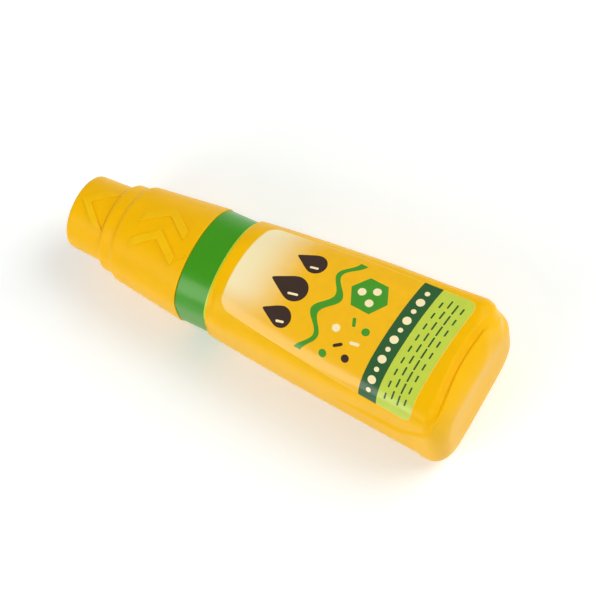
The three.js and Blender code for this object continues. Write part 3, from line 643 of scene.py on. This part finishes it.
class GLUEBOTTLE_OT_stage(bpy.types.Operator):
    """Floor, light, sky and camera"""

    bl_idname = "glue_bottle.stage"
    bl_label = "Stage"

    # Place and size of each softbox in metres, and the sky's level by height
    SOFTBOXES = {
        "main": ((0.50, 0.48, 0.72), (0.70, 0.70)),
        "window": ((-0.22, -0.55, 0.31), (0.40, 0.38)),
        "edge": ((0.30, -0.36, 0.88), (0.12, 0.12)),
    }
    SKY_LEVELS = ((0.0, 1.0), (0.5, 0.3))
    FLOOR_HALF, FLOOR_GAP, FLOOR_GLOW = 3.0, 0.0001, 0.2

    def execute(self, context):
        stage = context.scene.glue_stage
        context.scene.view_settings.view_transform = "Standard"
        self.floor(stage)
        self.sky(context.scene, stage)
        for name, (place, size) in self.SOFTBOXES.items():
            self.softbox(name + "_softbox", place, size, getattr(stage, name))
        self.camera(context.scene, stage)
        return {"FINISHED"}

    def floor(self, stage):
        half, level = self.FLOOR_HALF, CAD_BOX[0][2] - self.FLOOR_GAP
        mesh = bpy.data.meshes.new("floor")
        mesh.from_pydata([(-half, -half, level), (half, -half, level), (half, half, level),
                          (-half, half, level)], [], [(0, 1, 2, 3)])
        floor = bpy.data.objects.new("floor", mesh)
        bpy.context.scene.collection.objects.link(floor)
        finish = Finish("floor_paint", stage.floor, 0.6, mottle=0.004, patch=0.05, grain=0.0)
        finish.set({"Specular IOR Level": 0.2, "Emission Color": (1, 1, 1, 1),
                    "Emission Strength": self.glow(finish)})
        mesh.materials.append(finish.material)

    def glow(self, finish):
        """A glow that the eye and reflections see, and that lights nothing else."""
        path = finish.node("LightPath", {})
        seen = path["Is Camera Ray"]
        for ray in ("Is Glossy Ray", "Is Transmission Ray"):
            seen = finish.node("Math", {0: seen, 1: path[ray]}, operation="MAXIMUM")[0]
        return finish.node("MapRange", {"Value": seen, "To Max": self.FLOOR_GLOW})["Result"]

    def sky(self, scene, stage):
        world = scene.world or bpy.data.worlds.new("sky")
        scene.world = world
        world.use_nodes = True
        tree = world.node_tree
        view = add_node(tree, "TexCoord", {})["Generated"]
        height = add_node(tree, "SeparateXYZ", {"Vector": view})["Z"]
        tone = ramp(tree, height, [(place, (level, level, level, 1)) for place, level in self.SKY_LEVELS])
        feed(tree, tree.nodes["Background"], {"Strength": stage.sky, "Color": tone})

    def softbox(self, name, place, size, power):
        light = bpy.data.lights.new(name, "AREA")
        light.shape = "RECTANGLE"
        light.size, light.size_y = size
        light.energy = power
        lamp = bpy.data.objects.new(name, light)
        lamp.location = place
        lamp.rotation_euler = (-Vector(place)).to_track_quat("-Z", "Y").to_euler()
        bpy.context.scene.collection.objects.link(lamp)

    def camera(self, scene, stage):
        data = bpy.data.cameras.new("camera")
        data.sensor_width = 36.0
        data.lens = stage.camera_lens
        data.clip_start = 0.01
        camera = bpy.data.objects.new("camera", data)
        tilt = QUARTER_TURN - stage.camera_elevation
        turn = Euler((tilt, 0, stage.camera_azimuth)).to_matrix()
        turn = turn @ Euler((0, 0, stage.camera_roll)).to_matrix()
        camera.rotation_euler = turn.to_euler()
        camera.location = Vector(stage.camera_aim) + turn @ Vector((0, 0, stage.camera_distance))
        scene.collection.objects.link(camera)
        scene.camera = camera


class GLUEBOTTLE_OT_bottle(bpy.types.Operator):
    """The soft bottle with its foot, label panels, neck and inside"""

    bl_idname = "glue_bottle.bottle"
    bl_label = "Bottle"

    WALL, DISH = 1.0, 0.25
    DISH_SHARES = (0.1, 0.3, 0.5, 0.7, 0.85)
    # Leans of the rings on the rounding of the foot, closer together from the slope on
    LEANS = np.radians([*np.arange(0, 24, 4), *np.arange(24, 91, 1.5)])
    # How far over the foot's rounding the even rings start and the finer ones end, and how far under the
    # top they stop
    BODY_START, FINE_END, BODY_STOP, TOP_LEAD = 1.2, 8.0, 1.2, 1.0
    RIM_ROWS, FINE_ROWS, BODY_ROWS = 16, 32, 45
    # The inside is drawn in at the foot, where its wall starts, and at the base
    FOOT_RISE, FOOT_INSET, BASE_INSET = 1.5, 1.2, 3.6

    def execute(self, context):
        sizes, look = settings(context)
        turns = turns_round(BOTTLE_SIDES)
        edge_start = BOTTLE_REAR + sizes.base_edge
        start, fine = edge_start + self.BODY_START, edge_start + self.FINE_END
        front = BOTTLE_FRONT + SEAM_CLOSING
        edge = [bottle_edge(sizes, lean, turns) for lean in self.LEANS]
        rings = []
        for share in self.DISH_SHARES:
            middle = placed(BOTTLE_REAR + self.DISH * (1 - float(eased(share))))
            ring = mixed(middle, edge[0], share)
            ring[:, 0] = middle[0]
            rings.append(ring)
        rings += edge
        rim = BOTTLE_REAR + edge_length(sizes, turns)
        body = [mixed(rim, start, share) for share in np.linspace(0, 1, self.RIM_ROWS + 1)[1:]]
        body += [*np.linspace(start, fine, self.FINE_ROWS + 1)[1:]]
        body += [*np.linspace(fine, front - self.BODY_STOP, self.BODY_ROWS + 1)[1:]]
        rings += [bottle_surface(sizes, reach, turns, 0.0) for reach in body]
        top = tuple(float(value) for value in bottle_section(sizes, np.array(BOTTLE_FRONT)))
        foot = (sizes.base_width, sizes.depth, BASE_SQUARE, FADED_FLANK)
        inside_front, inside_rear = front - self.WALL, BOTTLE_REAR + self.DISH + self.WALL
        neck = rounded([
            (front - self.TOP_LEAD, top), (front, top, 0.3), (front, NECK, 0.4),
            (BEAD_PLACE - BEAD_HALF, NECK, 0.2), (BEAD_PLACE, NECK_BEAD, 0.3),
            (BEAD_PLACE + BEAD_HALF, NECK, 0.2), (NECK_FRONT, NECK, 0.3), (NECK_FRONT, NECK_BORE, 0.3),
            (inside_front, NECK_BORE, 0.4), (inside_front, inside_of(top, self.WALL), 1.0),
            (edge_start + self.FOOT_RISE, inside_of(foot, self.WALL + self.FOOT_INSET), 1.0),
            (inside_rear, inside_of(foot, sizes.base_edge + self.BASE_INSET), 1.0), (inside_rear, ON_AXIS),
        ], closed=False)
        rings += rings_of(neck[:-1], BOTTLE_SIDES)
        skin = Skin()
        skin.loft(rings, ends=[placed(BOTTLE_REAR + self.DISH), placed(inside_rear)])
        satin = yellow_plastic("bottle_plastic", look.bottle_yellow, 0.36, 0.08)
        skin.build("bottle_shell", "bottle_body", "bottle_plastic", "bottle", [satin])
        return {"FINISHED"}


# Motifs of the label as closed outlines in millimetres: across to the far side, down from the collar

def ring_of_points(across, down, radius, count, start=0.0):
    return [(across + radius * math.cos(start + FULL_TURN * k / count),
             down + radius * math.sin(start + FULL_TURN * k / count)) for k in range(count)]


def drop(across, down, radius, tail):
    """A glue drop with its point towards the collar."""
    points = []
    for k in range(48):
        turn = FULL_TURN * k / 48
        pull = max(0.0, -math.sin(turn)) ** 3
        points.append((across + radius * math.cos(turn) * (1 - 0.55 * pull),
                       down + radius * math.sin(turn) - tail * pull))
    return points


def ribbon(left, right, middle, half, count=72):
    """A band between two wavy lines: middle and half are functions of the place across."""
    places = [mixed(left, right, k / count) for k in range(count + 1)]
    upper = [(s, middle(s) - half(s)) for s in places]
    lower = [(s, middle(s) + half(s)) for s in reversed(places)]
    return upper + lower


def bar(across, down, wide, long, lean=0.0):
    """A short bar with round ends."""
    points = []
    straight = (long - wide) / 2
    for k in range(24):
        turn = FULL_TURN * k / 24
        x = wide / 2 * math.cos(turn) + math.copysign(straight, math.cos(turn))
        y = wide / 2 * math.sin(turn)
        points.append((across + x * math.cos(lean) - y * math.sin(lean),
                       down + x * math.sin(lean) + y * math.cos(lean)))
    return points


class GLUEBOTTLE_OT_labels(bpy.types.Operator):
    """The printed films on the front and the back"""

    bl_idname = "glue_bottle.labels"
    bl_label = "Labels"

    LENGTH = LABEL_TOP - LABEL_FOOT
    TOP_WIDTH, FOOT_WIDTH = 24.4, 33.8
    # How the front film lies: foot moved to the near side, askew, bowed, top moved up and foot moved down
    FRONT_LAY = (3.1, 0.045, 0.9, 0.6, 0.3)
    BACK_LAY = (0.0, 0.0, 0.0, 0.0, 0.0)
    # The print is cream at the top; this fades down the film and towards its near side
    FADE_LENGTH, CREAM_START, CREAM_END = 15.0, -5.0, -13.5
    CORNER, EDGE_WIDTH = 2.6, 0.2
    # How far the film's outside and inside lie over the bottle
    FILM_LIFTS = (0.096, -0.024)
    # Spacing of the points inside the film, and how far they keep from its sides and its corners
    GRID, GRID_MARGIN, GRID_TRIM, TRIM_LENGTH = 1.15, 0.8, 1.6, 2.0
    BAND_ENDS = (37.6, 42.1)
    EDGE, FILM, CREAM, BROWN, LEAF, BAND, LIME = range(7)

    def half_width(self, down):
        return mixed(self.TOP_WIDTH, self.FOOT_WIDTH, down / self.LENGTH) / 2

    def outline(self, trim=0.0, top=0.0):
        """The film's outline, or one that lies trim inside it and starts lower down."""
        radius = self.CORNER - trim
        arc = [QUARTER_TURN * k / 8 for k in range(9)]
        upper = [(radius * (1 - math.cos(a)), max(trim, top) + radius * (1 - math.sin(a))) for a in arc]
        lower = [(radius * (1 - math.cos(a)), self.LENGTH - trim - radius * (1 - math.sin(a))) for a in arc]
        if top:
            upper = [(0.0, top)]
        far = [(self.half_width(down) - trim - cut, down) for cut, down in reversed(upper)]
        far += [(self.half_width(down) - trim - cut, down) for cut, down in lower]
        return self.spread(far + [(-across, down) for across, down in reversed(far)])

    @staticmethod
    def spread(points, gap=1.0):
        """The same outline with a point at least every millimetre."""
        result = []
        for (a, b), (c, d) in zip(points, points[1:] + points[:1]):
            pieces = max(1, math.ceil(math.hypot(c - a, d - b) / gap))
            result += [(mixed(a, c, k / pieces), mixed(b, d, k / pieces)) for k in range(pieces)]
        return [p for k, p in enumerate(result) if math.dist(p, result[k - 1]) > 1e-4]

    def front_motifs(self):
        yield self.FILM, self.outline(self.EDGE_WIDTH)
        for across, down, radius in ((-7.6, 15.0, 2.5), (-0.4, 14.6, 3.1), (7.2, 15.2, 2.5)):
            yield self.BROWN, drop(across, down, radius, radius * 0.9)
            yield self.CREAM, bar(across - radius * 0.42, down + radius * 0.1, 0.55, radius * 0.8, 1.3)
        yield self.LEAF, ribbon(-12.2, 12.6, lambda s: 22.6 + 1.5 * math.sin(s * 0.62),
                                lambda s: 0.85 + 0.25 * math.cos(s * 0.4))
        across, down = 6.4, 29.6
        yield self.LEAF, ring_of_points(across, down, 4.6, 6, math.radians(30))
        for dot in ring_of_points(across, down, 1.9, 3, -QUARTER_TURN):
            yield self.CREAM, ring_of_points(*dot, 0.95, 20)
        for k, place in enumerate(((-10.5, 27.2), (-7.2, 29.6), (-3.9, 27.4), (-0.8, 30.2), (-9.2, 32.4),
                                   (-5.2, 32.8), (-1.6, 33.6))):
            shape = bar(*place, 0.8, 2.3, 0.9 * k) if k % 2 else ring_of_points(*place, 0.95, 18)
            yield (self.LEAF, self.BROWN, self.CREAM)[k % 3], shape
        top, foot = self.BAND_ENDS
        middle, half = (top + foot) / 2, (foot - top) / 2
        yield self.BAND, ribbon(-20, 20, lambda s: middle, lambda s: half)
        for k in range(11):
            yield self.CREAM, ring_of_points(mixed(-13.2, 13.2, k / 10), middle, 1.0 if k % 2 else 0.6, 20)
        yield self.LIME, self.outline(self.EDGE_WIDTH, foot)
        for row in range(4):
            start = -13.4 + (0.8 if row % 2 else 0.0)
            for k in range(9):
                long = 1.7 + 0.5 * ((k * 3 + row) % 3)
                yield self.BAND, bar(start + 3.1 * k + long / 2, 43.9 + 1.6 * row, 0.42, long)

    def back_motifs(self):
        yield self.FILM, self.outline(self.EDGE_WIDTH)
        yield self.CREAM, self.spread([(-9.5, 5.0), (9.5, 5.0), (13.0, 44.0), (-13.0, 44.0)])
        for row in range(12):
            down = 9.0 + 2.9 * row
            short = row % 3 == 2
            yield self.BAND, bar(-0.6 * short, down, 0.5, 2 * (7.6 + 0.07 * down - 2.4 * short))

    def film(self, name, sizes, motifs, middle, lay, inks):
        """One film from its outline and motifs, laid round the bottle from the middle of one side."""
        outlines = [self.outline()] + [shape for _, shape in motifs]
        points, faces = [], []
        for shape in outlines:
            faces.append(list(range(len(points), len(points) + len(shape))))
            points += [Vector(p) for p in shape]
        for row in range(1, int(self.LENGTH / self.GRID)):
            down = row * self.GRID
            half = self.half_width(down) - self.GRID_MARGIN
            count = int(2 * half / self.GRID)
            if min(down, self.LENGTH - down) < self.TRIM_LENGTH:
                half -= self.GRID_TRIM
            points += [Vector((mixed(-half, half, k / count), down)) for k in range(count + 1)]
        flat, _, triangles, _, _, owners = delaunay_2d_cdt(points, [], faces, 1, 1e-5)
        across = np.array([p.x for p in flat])
        down = np.array([p.y for p in flat])
        shift, skew, bow, top, foot = lay
        share = down / self.LENGTH
        bulge = bow * (1 - (across / self.half_width(down)) ** 2)
        reach = LABEL_TOP - down + mixed(top, -foot, share) - skew * across + bulge
        section = bottle_section(sizes, reach)
        distances = shift * share - across
        turns = np.array([turn_at(tuple(v[k] for v in section), middle, distances[k])
                          for k in range(len(flat))])
        kept = [k for k, owner in enumerate(owners) if 0 in owner]
        finishes = [motifs[max(owners[k]) - 1][0] if max(owners[k]) else self.EDGE for k in kept]
        fronts = [tuple(triangles[k]) for k in kept]
        count = len(flat)
        backs = [tuple(k + count for k in reversed(face)) for face in fronts]
        sides = [side for face in fronts for side in zip(face, face[1:] + face[:1])]
        shared = set(sides)
        walls = [(a, b, b + count, a + count) for a, b in sides if (b, a) not in shared]
        upper, lower = (bottle_surface(sizes, reach, turns, lift) for lift in self.FILM_LIFTS)
        skin = Skin()
        skin.add(np.concatenate([upper, lower]), fronts + backs + walls,
                 finishes + [self.EDGE] * len(backs + walls))
        skin.build(name + "_film", "bottle_body", name + "_film", name, inks)

    def execute(self, context):
        sizes, look = settings(context)
        film = film_ink("clear_film", look.bottle_yellow)
        top = AXIS_POINT.x - LABEL_TOP * MM
        film.fade("X", top + self.FADE_LENGTH * MM, top, look.cream_ink)
        film.fade("Y", self.CREAM_START * MM, self.CREAM_END * MM, look.bottle_yellow)
        inks = [film_ink("film_edge", look.film_edge).material, film.material]
        for name in ("cream_ink", "brown_ink", "leaf_ink", "band_ink", "lime_ink"):
            inks.append(film_ink(name, getattr(look, name)).material)
        self.film("front_label", sizes, list(self.front_motifs()), QUARTER_TURN, self.FRONT_LAY, inks)
        self.film("back_label", sizes, list(self.back_motifs()), -QUARTER_TURN, self.BACK_LAY, inks)
        return {"FINISHED"}


class GLUEBOTTLE_OT_collar(bpy.types.Operator):
    """The green collar with its threaded spigot"""

    bl_idname = "glue_bottle.collar"
    bl_label = "Collar"

    # Width, relief and depth of the thin band at the collar's rear edge that carries the painted rim
    # highlight
    EDGE_WIDTH, EDGE_RELIEF, EDGE_DEPTH = 0.55, 0.03, 0.3

    def execute(self, context):
        sizes, look = settings(context)
        oval = (sizes.collar_width, sizes.collar_depth, TOP_SQUARE, CUT_FLANK)
        front, rear = COLLAR_FRONT + SEAM_CLOSING, COLLAR_REAR - SEAM_CLOSING
        skin = Skin()
        skin.profile([
            (rear, oval, 0.2), (front, oval, 0.2), (front, SPIGOT, 0.4), (SPIGOT_FRONT, SPIGOT, 0.4),
            (SPIGOT_FRONT, SPIGOT_BORE, 0.3), (DECK_UNDERSIDE, SPIGOT_BORE, 0.2),
            (DECK_UNDERSIDE, SLEEVE_BORE, 0.2), (BEAD_PLACE + BEAD_LEAD, SLEEVE_BORE),
            (BEAD_PLACE + BEAD_HALF, BEAD_ROOM), (BEAD_PLACE - BEAD_HALF, BEAD_ROOM),
            (BEAD_PLACE - BEAD_LEAD, SLEEVE_BORE), (rear, SLEEVE_BORE, 0.2),
        ])
        skin.threads(SPIGOT - THREAD_SINK, THREAD_CREST, 0.0)
        # The band at the rear edge, beside the bottle, takes finish 1, the pale green of a painted highlight
        # on the rim
        raised, sunk = inside_of(oval, -self.EDGE_RELIEF), inside_of(oval, self.EDGE_DEPTH)
        seam = rear + self.EDGE_WIDTH
        skin.profile([(rear, raised, 0.08), (seam, raised, 0.08), (seam, sunk), (rear, sunk)], finish=1)
        finish = Finish("collar_plastic", look.collar_green, 0.3, mottle=0.03, grain=0.05)
        finish.set({"Specular IOR Level": 0.3, "Specular Tint": (0.75, 1.0, 0.6, 1.0), "Coat Weight": 0.36,
                    "Coat Roughness": 0.22})
        # This pale green is a painted highlight on the rim, not the collar's own colour
        edge = Finish("collar_edge", look.collar_edge, 0.4, mottle=0.03, grain=0.05)
        skin.build("collar_ring", "bottle_body", "collar_plastic", "collar", [finish.material, edge.material])
        return {"FINISHED"}


def arrow_rows(place, spread, apex, rise):
    """Rows of a raised arrow: it spreads to both sides of a place, and its legs rise away from the apex."""
    parts = [2 * k / ARROW_STEPS - 1 for k in range(ARROW_STEPS + 1)]
    return [(place + part * spread / 2, apex + rise * abs(part)) for part in parts]


class GLUEBOTTLE_OT_twist_cap(bpy.types.Operator):
    """The twist cap with its raised arrows"""

    bl_idname = "glue_bottle.twist_cap"
    bl_label = "Twist cap"

    RING_CHAMFER = 1.2
    ARROW_PLACE, ARROW_LENGTH, ARROW_RISE = 9.1, 12.0, 4.4
    ARROW_TURNS = (102, 71, 282, 251)
    # A small raised dash beside the collar, lower than the arrows; its ends are given by reach and turn
    DASH_START, DASH_END, DASH_WIDTH, DASH_SHARE = (0.8, 112.5), (2.3, 118.5), 0.7, 0.7

    def cone(self, sizes, reach):
        t = np.clip((reach - CAP_REAR) / (CAP_SHOULDER - CAP_REAR), 0, 1)
        return (mixed(sizes.cap_width, sizes.cap_shoulder, t), mixed(sizes.cap_depth, sizes.cap_shoulder, t),
                mixed(TOP_SQUARE, ROUND, t), mixed(CUT_FLANK, FADED_FLANK, t))

    def outside(self, sizes, reach, middle, distances, lifts):
        """Points on the cone, at distances round it from a middle turn in degrees."""
        section = self.cone(sizes, reach)
        turns = np.array([turn_at(section, math.radians(middle), d) for d in distances])
        return on_section(reach, section, turns, lifts)

    def execute(self, context):
        sizes, look = settings(context)
        base = (sizes.cap_width, sizes.cap_depth, TOP_SQUARE, CUT_FLANK)
        pocket = self.cone(sizes, CAP_POCKET_END)
        shoulder, ring = sizes.cap_shoulder, sizes.cap_ring
        rear, shelf = CAP_REAR - SEAM_CLOSING, NOZZLE_SHELF + SHELF_GAP
        skin = Skin()
        skin.profile([
            (rear, base, 0.2), (CAP_SHOULDER, (shoulder, shoulder, ROUND, FADED_FLANK), 0.7),
            (CAP_RING_REAR, ring, 0.5), (CAP_RING_FRONT, ring, 0.6),
            (CAP_FRONT, ring - self.RING_CHAMFER, 0.35), (CAP_FRONT, TIP_SEAT, 0.3),
            (SEAT_FRONT, TIP_SEAT, 0.35), (SEAT_FRONT, SHANK_ROOM, 0.2),
            (shelf, SHANK_ROOM), (shelf, FLANGE_ROOM), (NOZZLE_REAR, FLANGE_ROOM),
            (NOZZLE_REAR, CAP_BORE, 0.3), (rear, CAP_BORE, 0.3), (rear, CAP_SLEEVE, 0.3),
            (CAP_POCKET_END, CAP_SLEEVE), (CAP_POCKET_END, inside_of(pocket, CAP_WALL)),
            (rear, inside_of(base, CAP_WALL), 0.3),
        ])
        skin.threads(CAP_BORE + THREAD_SINK, CAP_THREAD_CREST, 0.5)
        band, relief = sizes.arrow_band, sizes.arrow_relief
        rows = arrow_rows(self.ARROW_PLACE, self.ARROW_LENGTH, 0.0, self.ARROW_RISE)
        for middle in self.ARROW_TURNS:
            skin.plate(lambda reach, *rest: self.outside(sizes, reach, middle, *rest), rows, band, relief,
                       finish=1)
        start, end = np.array(self.DASH_START), np.array(self.DASH_END)
        rows = [(mixed(start, end, k / DASH_STEPS), 0.0) for k in range(DASH_STEPS + 1)]
        skin.plate(lambda place, *rest: self.outside(sizes, *place, *rest), rows, self.DASH_WIDTH,
                   self.DASH_SHARE * relief, bevel=0.1)
        plain = yellow_plastic("cap_plastic", look.cap_yellow, 0.42, 0.1)
        grained = yellow_plastic("arrow_plastic", look.arrow_yellow, 0.5, 0.35, 0.00022)
        skin.build("twist_cap_shell", "cap", "cap_plastic", "twist_cap", [plain, grained])
        return {"FINISHED"}


class GLUEBOTTLE_OT_tip_cap(bpy.types.Operator):
    """The small pull-off cap with its raised arrow"""

    bl_idname = "glue_bottle.tip_cap"
    bl_label = "Tip cap"

    ARROW_INSET, ARROW_RISE, ARROW_SPREAD, ARROW_TURN = 3.2, 5.4, math.radians(60), math.radians(97)

    def execute(self, context):
        sizes, look = settings(context)
        rear, front = sizes.tip_rear, sizes.tip_front
        skin = Skin()
        skin.profile([
            (TIP_FRONT, ON_AXIS), (TIP_FRONT, front, 1.0), (TIP_REAR, rear, 0.3), (TIP_REAR, TIP_BORE, 0.3),
            (TIP_INSIDE, TIP_BORE, 0.3), (TIP_INSIDE, SOCKET_OUTSIDE, 0.15),
            (SOCKET_MOUTH, SOCKET_OUTSIDE, 0.15), (SOCKET_MOUTH, SOCKET_REAR, 0.1),
            (TIP_INSIDE, SOCKET_FRONT), (TIP_INSIDE, TIP_PIN), (PIN_END, TIP_PIN, 0.1), (PIN_END, ON_AXIS),
        ], closed=False)

        def outside(turn, reaches, lifts):
            radius = mixed(rear, front, (reaches - TIP_REAR) / (TIP_FRONT - TIP_REAR)) / 2 + lifts
            return placed(reaches, radius * math.cos(turn), radius * math.sin(turn))

        apex = TIP_FRONT - self.ARROW_INSET
        rows = arrow_rows(self.ARROW_TURN, self.ARROW_SPREAD, apex, -self.ARROW_RISE)
        skin.plate(outside, rows, sizes.arrow_band, sizes.arrow_relief, finish=1)
        plain = yellow_plastic("tip_plastic", look.cap_yellow, 0.42, 0.1)
        grained = yellow_plastic("tip_arrow_plastic", look.arrow_yellow, 0.5, 0.35, 0.00022)
        skin.build("tip_cap_shell", "tip", "cap_plastic", "tip_cap", [plain, grained])
        return {"FINISHED"}


class GLUEBOTTLE_OT_applicators(bpy.types.Operator):
    """The broad spreader, the fine nozzle and the wad that seals the spreader"""

    bl_idname = "glue_bottle.applicators"
    bl_label = "Applicators"

    # Width and depth of the spreader's blade at its root, at its lip and in its slot
    BLADE_SIZES = ((11.4, 5.6), (10.4, 2.6), (7.0, 0.9))

    def execute(self, context):
        look = context.scene.glue_finishes
        milky = Finish("applicator_plastic", look.applicator_white, 0.42, mottle=0.02, grain=0.06)
        milky = milky.set({"Subsurface Weight": 0.2, "Subsurface Scale": 0.001}).material
        flange_rear = SPIGOT_FRONT + SPREADER_GAP
        flange_front, slot_end = flange_rear + FLANGE_THICKNESS, SPREADER_FRONT - SLOT_DEPTH
        root, lip, slot = ((*size, BLADE_SQUARE, UNCUT) for size in self.BLADE_SIZES)
        Skin().profile([
            (SPREADER_REAR, PLUG, 0.3), (flange_rear, PLUG), (flange_rear, SPREADER_FLANGE, 0.3),
            (flange_front, SPREADER_FLANGE, 0.35), (flange_front, root, 0.5), (SPREADER_FRONT, lip, 0.35),
            (SPREADER_FRONT, slot, 0.12), (slot_end, slot), (slot_end, SLOT_WIDTH),
            (flange_front, SPREADER_CHANNEL), (SPREADER_REAR, SPREADER_CHANNEL, 0.2),
        ]).build("spreader_blade", "bottle_body", "applicator_plastic", "spreader_tip", [milky])
        Skin().profile([
            (NOZZLE_REAR, NOZZLE_BORE), (NOZZLE_REAR, NOZZLE_FLANGE, 0.2), (NOZZLE_SHELF, NOZZLE_FLANGE, 0.2),
            (NOZZLE_SHELF, NOZZLE_SHANK, 0.2), (SEAT_FRONT, NOZZLE_SHANK, 0.3),
            (NOZZLE_FRONT, NOZZLE_MOUTH, 0.25), (NOZZLE_FRONT, NOZZLE_BORE, 0.1),
        ], sides=SMALL_SIDES).build("nozzle_tube", "cap", "applicator_plastic", "fine_nozzle", [milky])
        foam = foam_rubber("wad_foam", look.foam)
        Skin().profile([
            (WAD_REAR, WAD_HOLE, 0.1), (WAD_REAR, WAD_OUTSIDE, 0.3), (WAD_FRONT, WAD_OUTSIDE, 0.3),
            (WAD_FRONT, WAD_HOLE, 0.1),
        ], sides=SMALL_SIDES).build("wad_disc", "wad", "seal_foam", "cap_wad", [foam])
        return {"FINISHED"}


class GLUEBOTTLE_OT_contents(bpy.types.Operator):
    """The neck seal, which keeps its frame solid, and the glue, cut back under the slope of the foot"""

    bl_idname = "glue_bottle.contents"
    bl_label = "Contents"

    SLOPE_FOOT, SLOPE = 2.0, 0.62

    def execute(self, context):
        look = context.scene.glue_finishes
        glue = Finish("glue_gel", look.glue, 0.15, mottle=0.03, patch=0.004, grain=0.02)
        seal = frame["nodes"]["neck_seal"].data
        seal.materials.clear()
        seal.materials.append(foam_rubber("seal_foam", look.foam))
        solid = frame["nodes"]["glue_fill"]
        points = np.array([solid.matrix_world @ vertex.co for vertex in solid.data.vertices])
        above = np.maximum(0, points[:, 2] - AXIS_POINT.z - self.SLOPE_FOOT * MM)
        points[:, 0] = np.minimum(points[:, 0], BOX["glue_fill"][1].x - self.SLOPE * above)
        skin = Skin()
        skin.add(points, [tuple(face.vertices) for face in solid.data.polygons])
        skin.build("glue_body", "bottle_body", "glue", "glue_fill", [glue.material])
        return {"FINISHED"}


class GLUEBOTTLE_PT_sidebar(bpy.types.Panel):
    """Lists the pieces and the values that shape them"""

    bl_idname = "GLUEBOTTLE_PT_sidebar"
    bl_label = "Glue bottle"
    bl_space_type = "VIEW_3D"
    bl_region_type = "UI"
    bl_category = "Glue bottle"

    def draw(self, context):
        for operator in OPERATORS:
            self.layout.operator(operator.bl_idname)
        for group in (context.scene.glue_sizes, context.scene.glue_finishes, context.scene.glue_stage):
            column = self.layout.column(align=True)
            for name in group.__annotations__:
                column.prop(group, name)


GROUPS = {"glue_sizes": BottleSizes, "glue_finishes": BottleFinishes, "glue_stage": BottleStage}
OPERATORS = (GLUEBOTTLE_OT_stage, GLUEBOTTLE_OT_bottle, GLUEBOTTLE_OT_labels, GLUEBOTTLE_OT_collar,
             GLUEBOTTLE_OT_twist_cap, GLUEBOTTLE_OT_tip_cap, GLUEBOTTLE_OT_applicators,
             GLUEBOTTLE_OT_contents)
CLASSES = (*GROUPS.values(), *OPERATORS, GLUEBOTTLE_PT_sidebar)


def register():
    for cls in CLASSES:
        bpy.utils.register_class(cls)
    for name, group in GROUPS.items():
        setattr(bpy.types.Scene, name, PointerProperty(type=group))


def unregister():
    for name in GROUPS:
        delattr(bpy.types.Scene, name)
    for cls in reversed(CLASSES):
        bpy.utils.unregister_class(cls)


def main():
    register()
    bpy.ops.glue_bottle.stage()
    bpy.ops.glue_bottle.bottle()
    bpy.ops.glue_bottle.labels()
    bpy.ops.glue_bottle.collar()
    bpy.ops.glue_bottle.twist_cap()
    bpy.ops.glue_bottle.tip_cap()
    bpy.ops.glue_bottle.applicators()
    bpy.ops.glue_bottle.contents()
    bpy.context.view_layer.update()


if __name__ == "__main__":
    main()
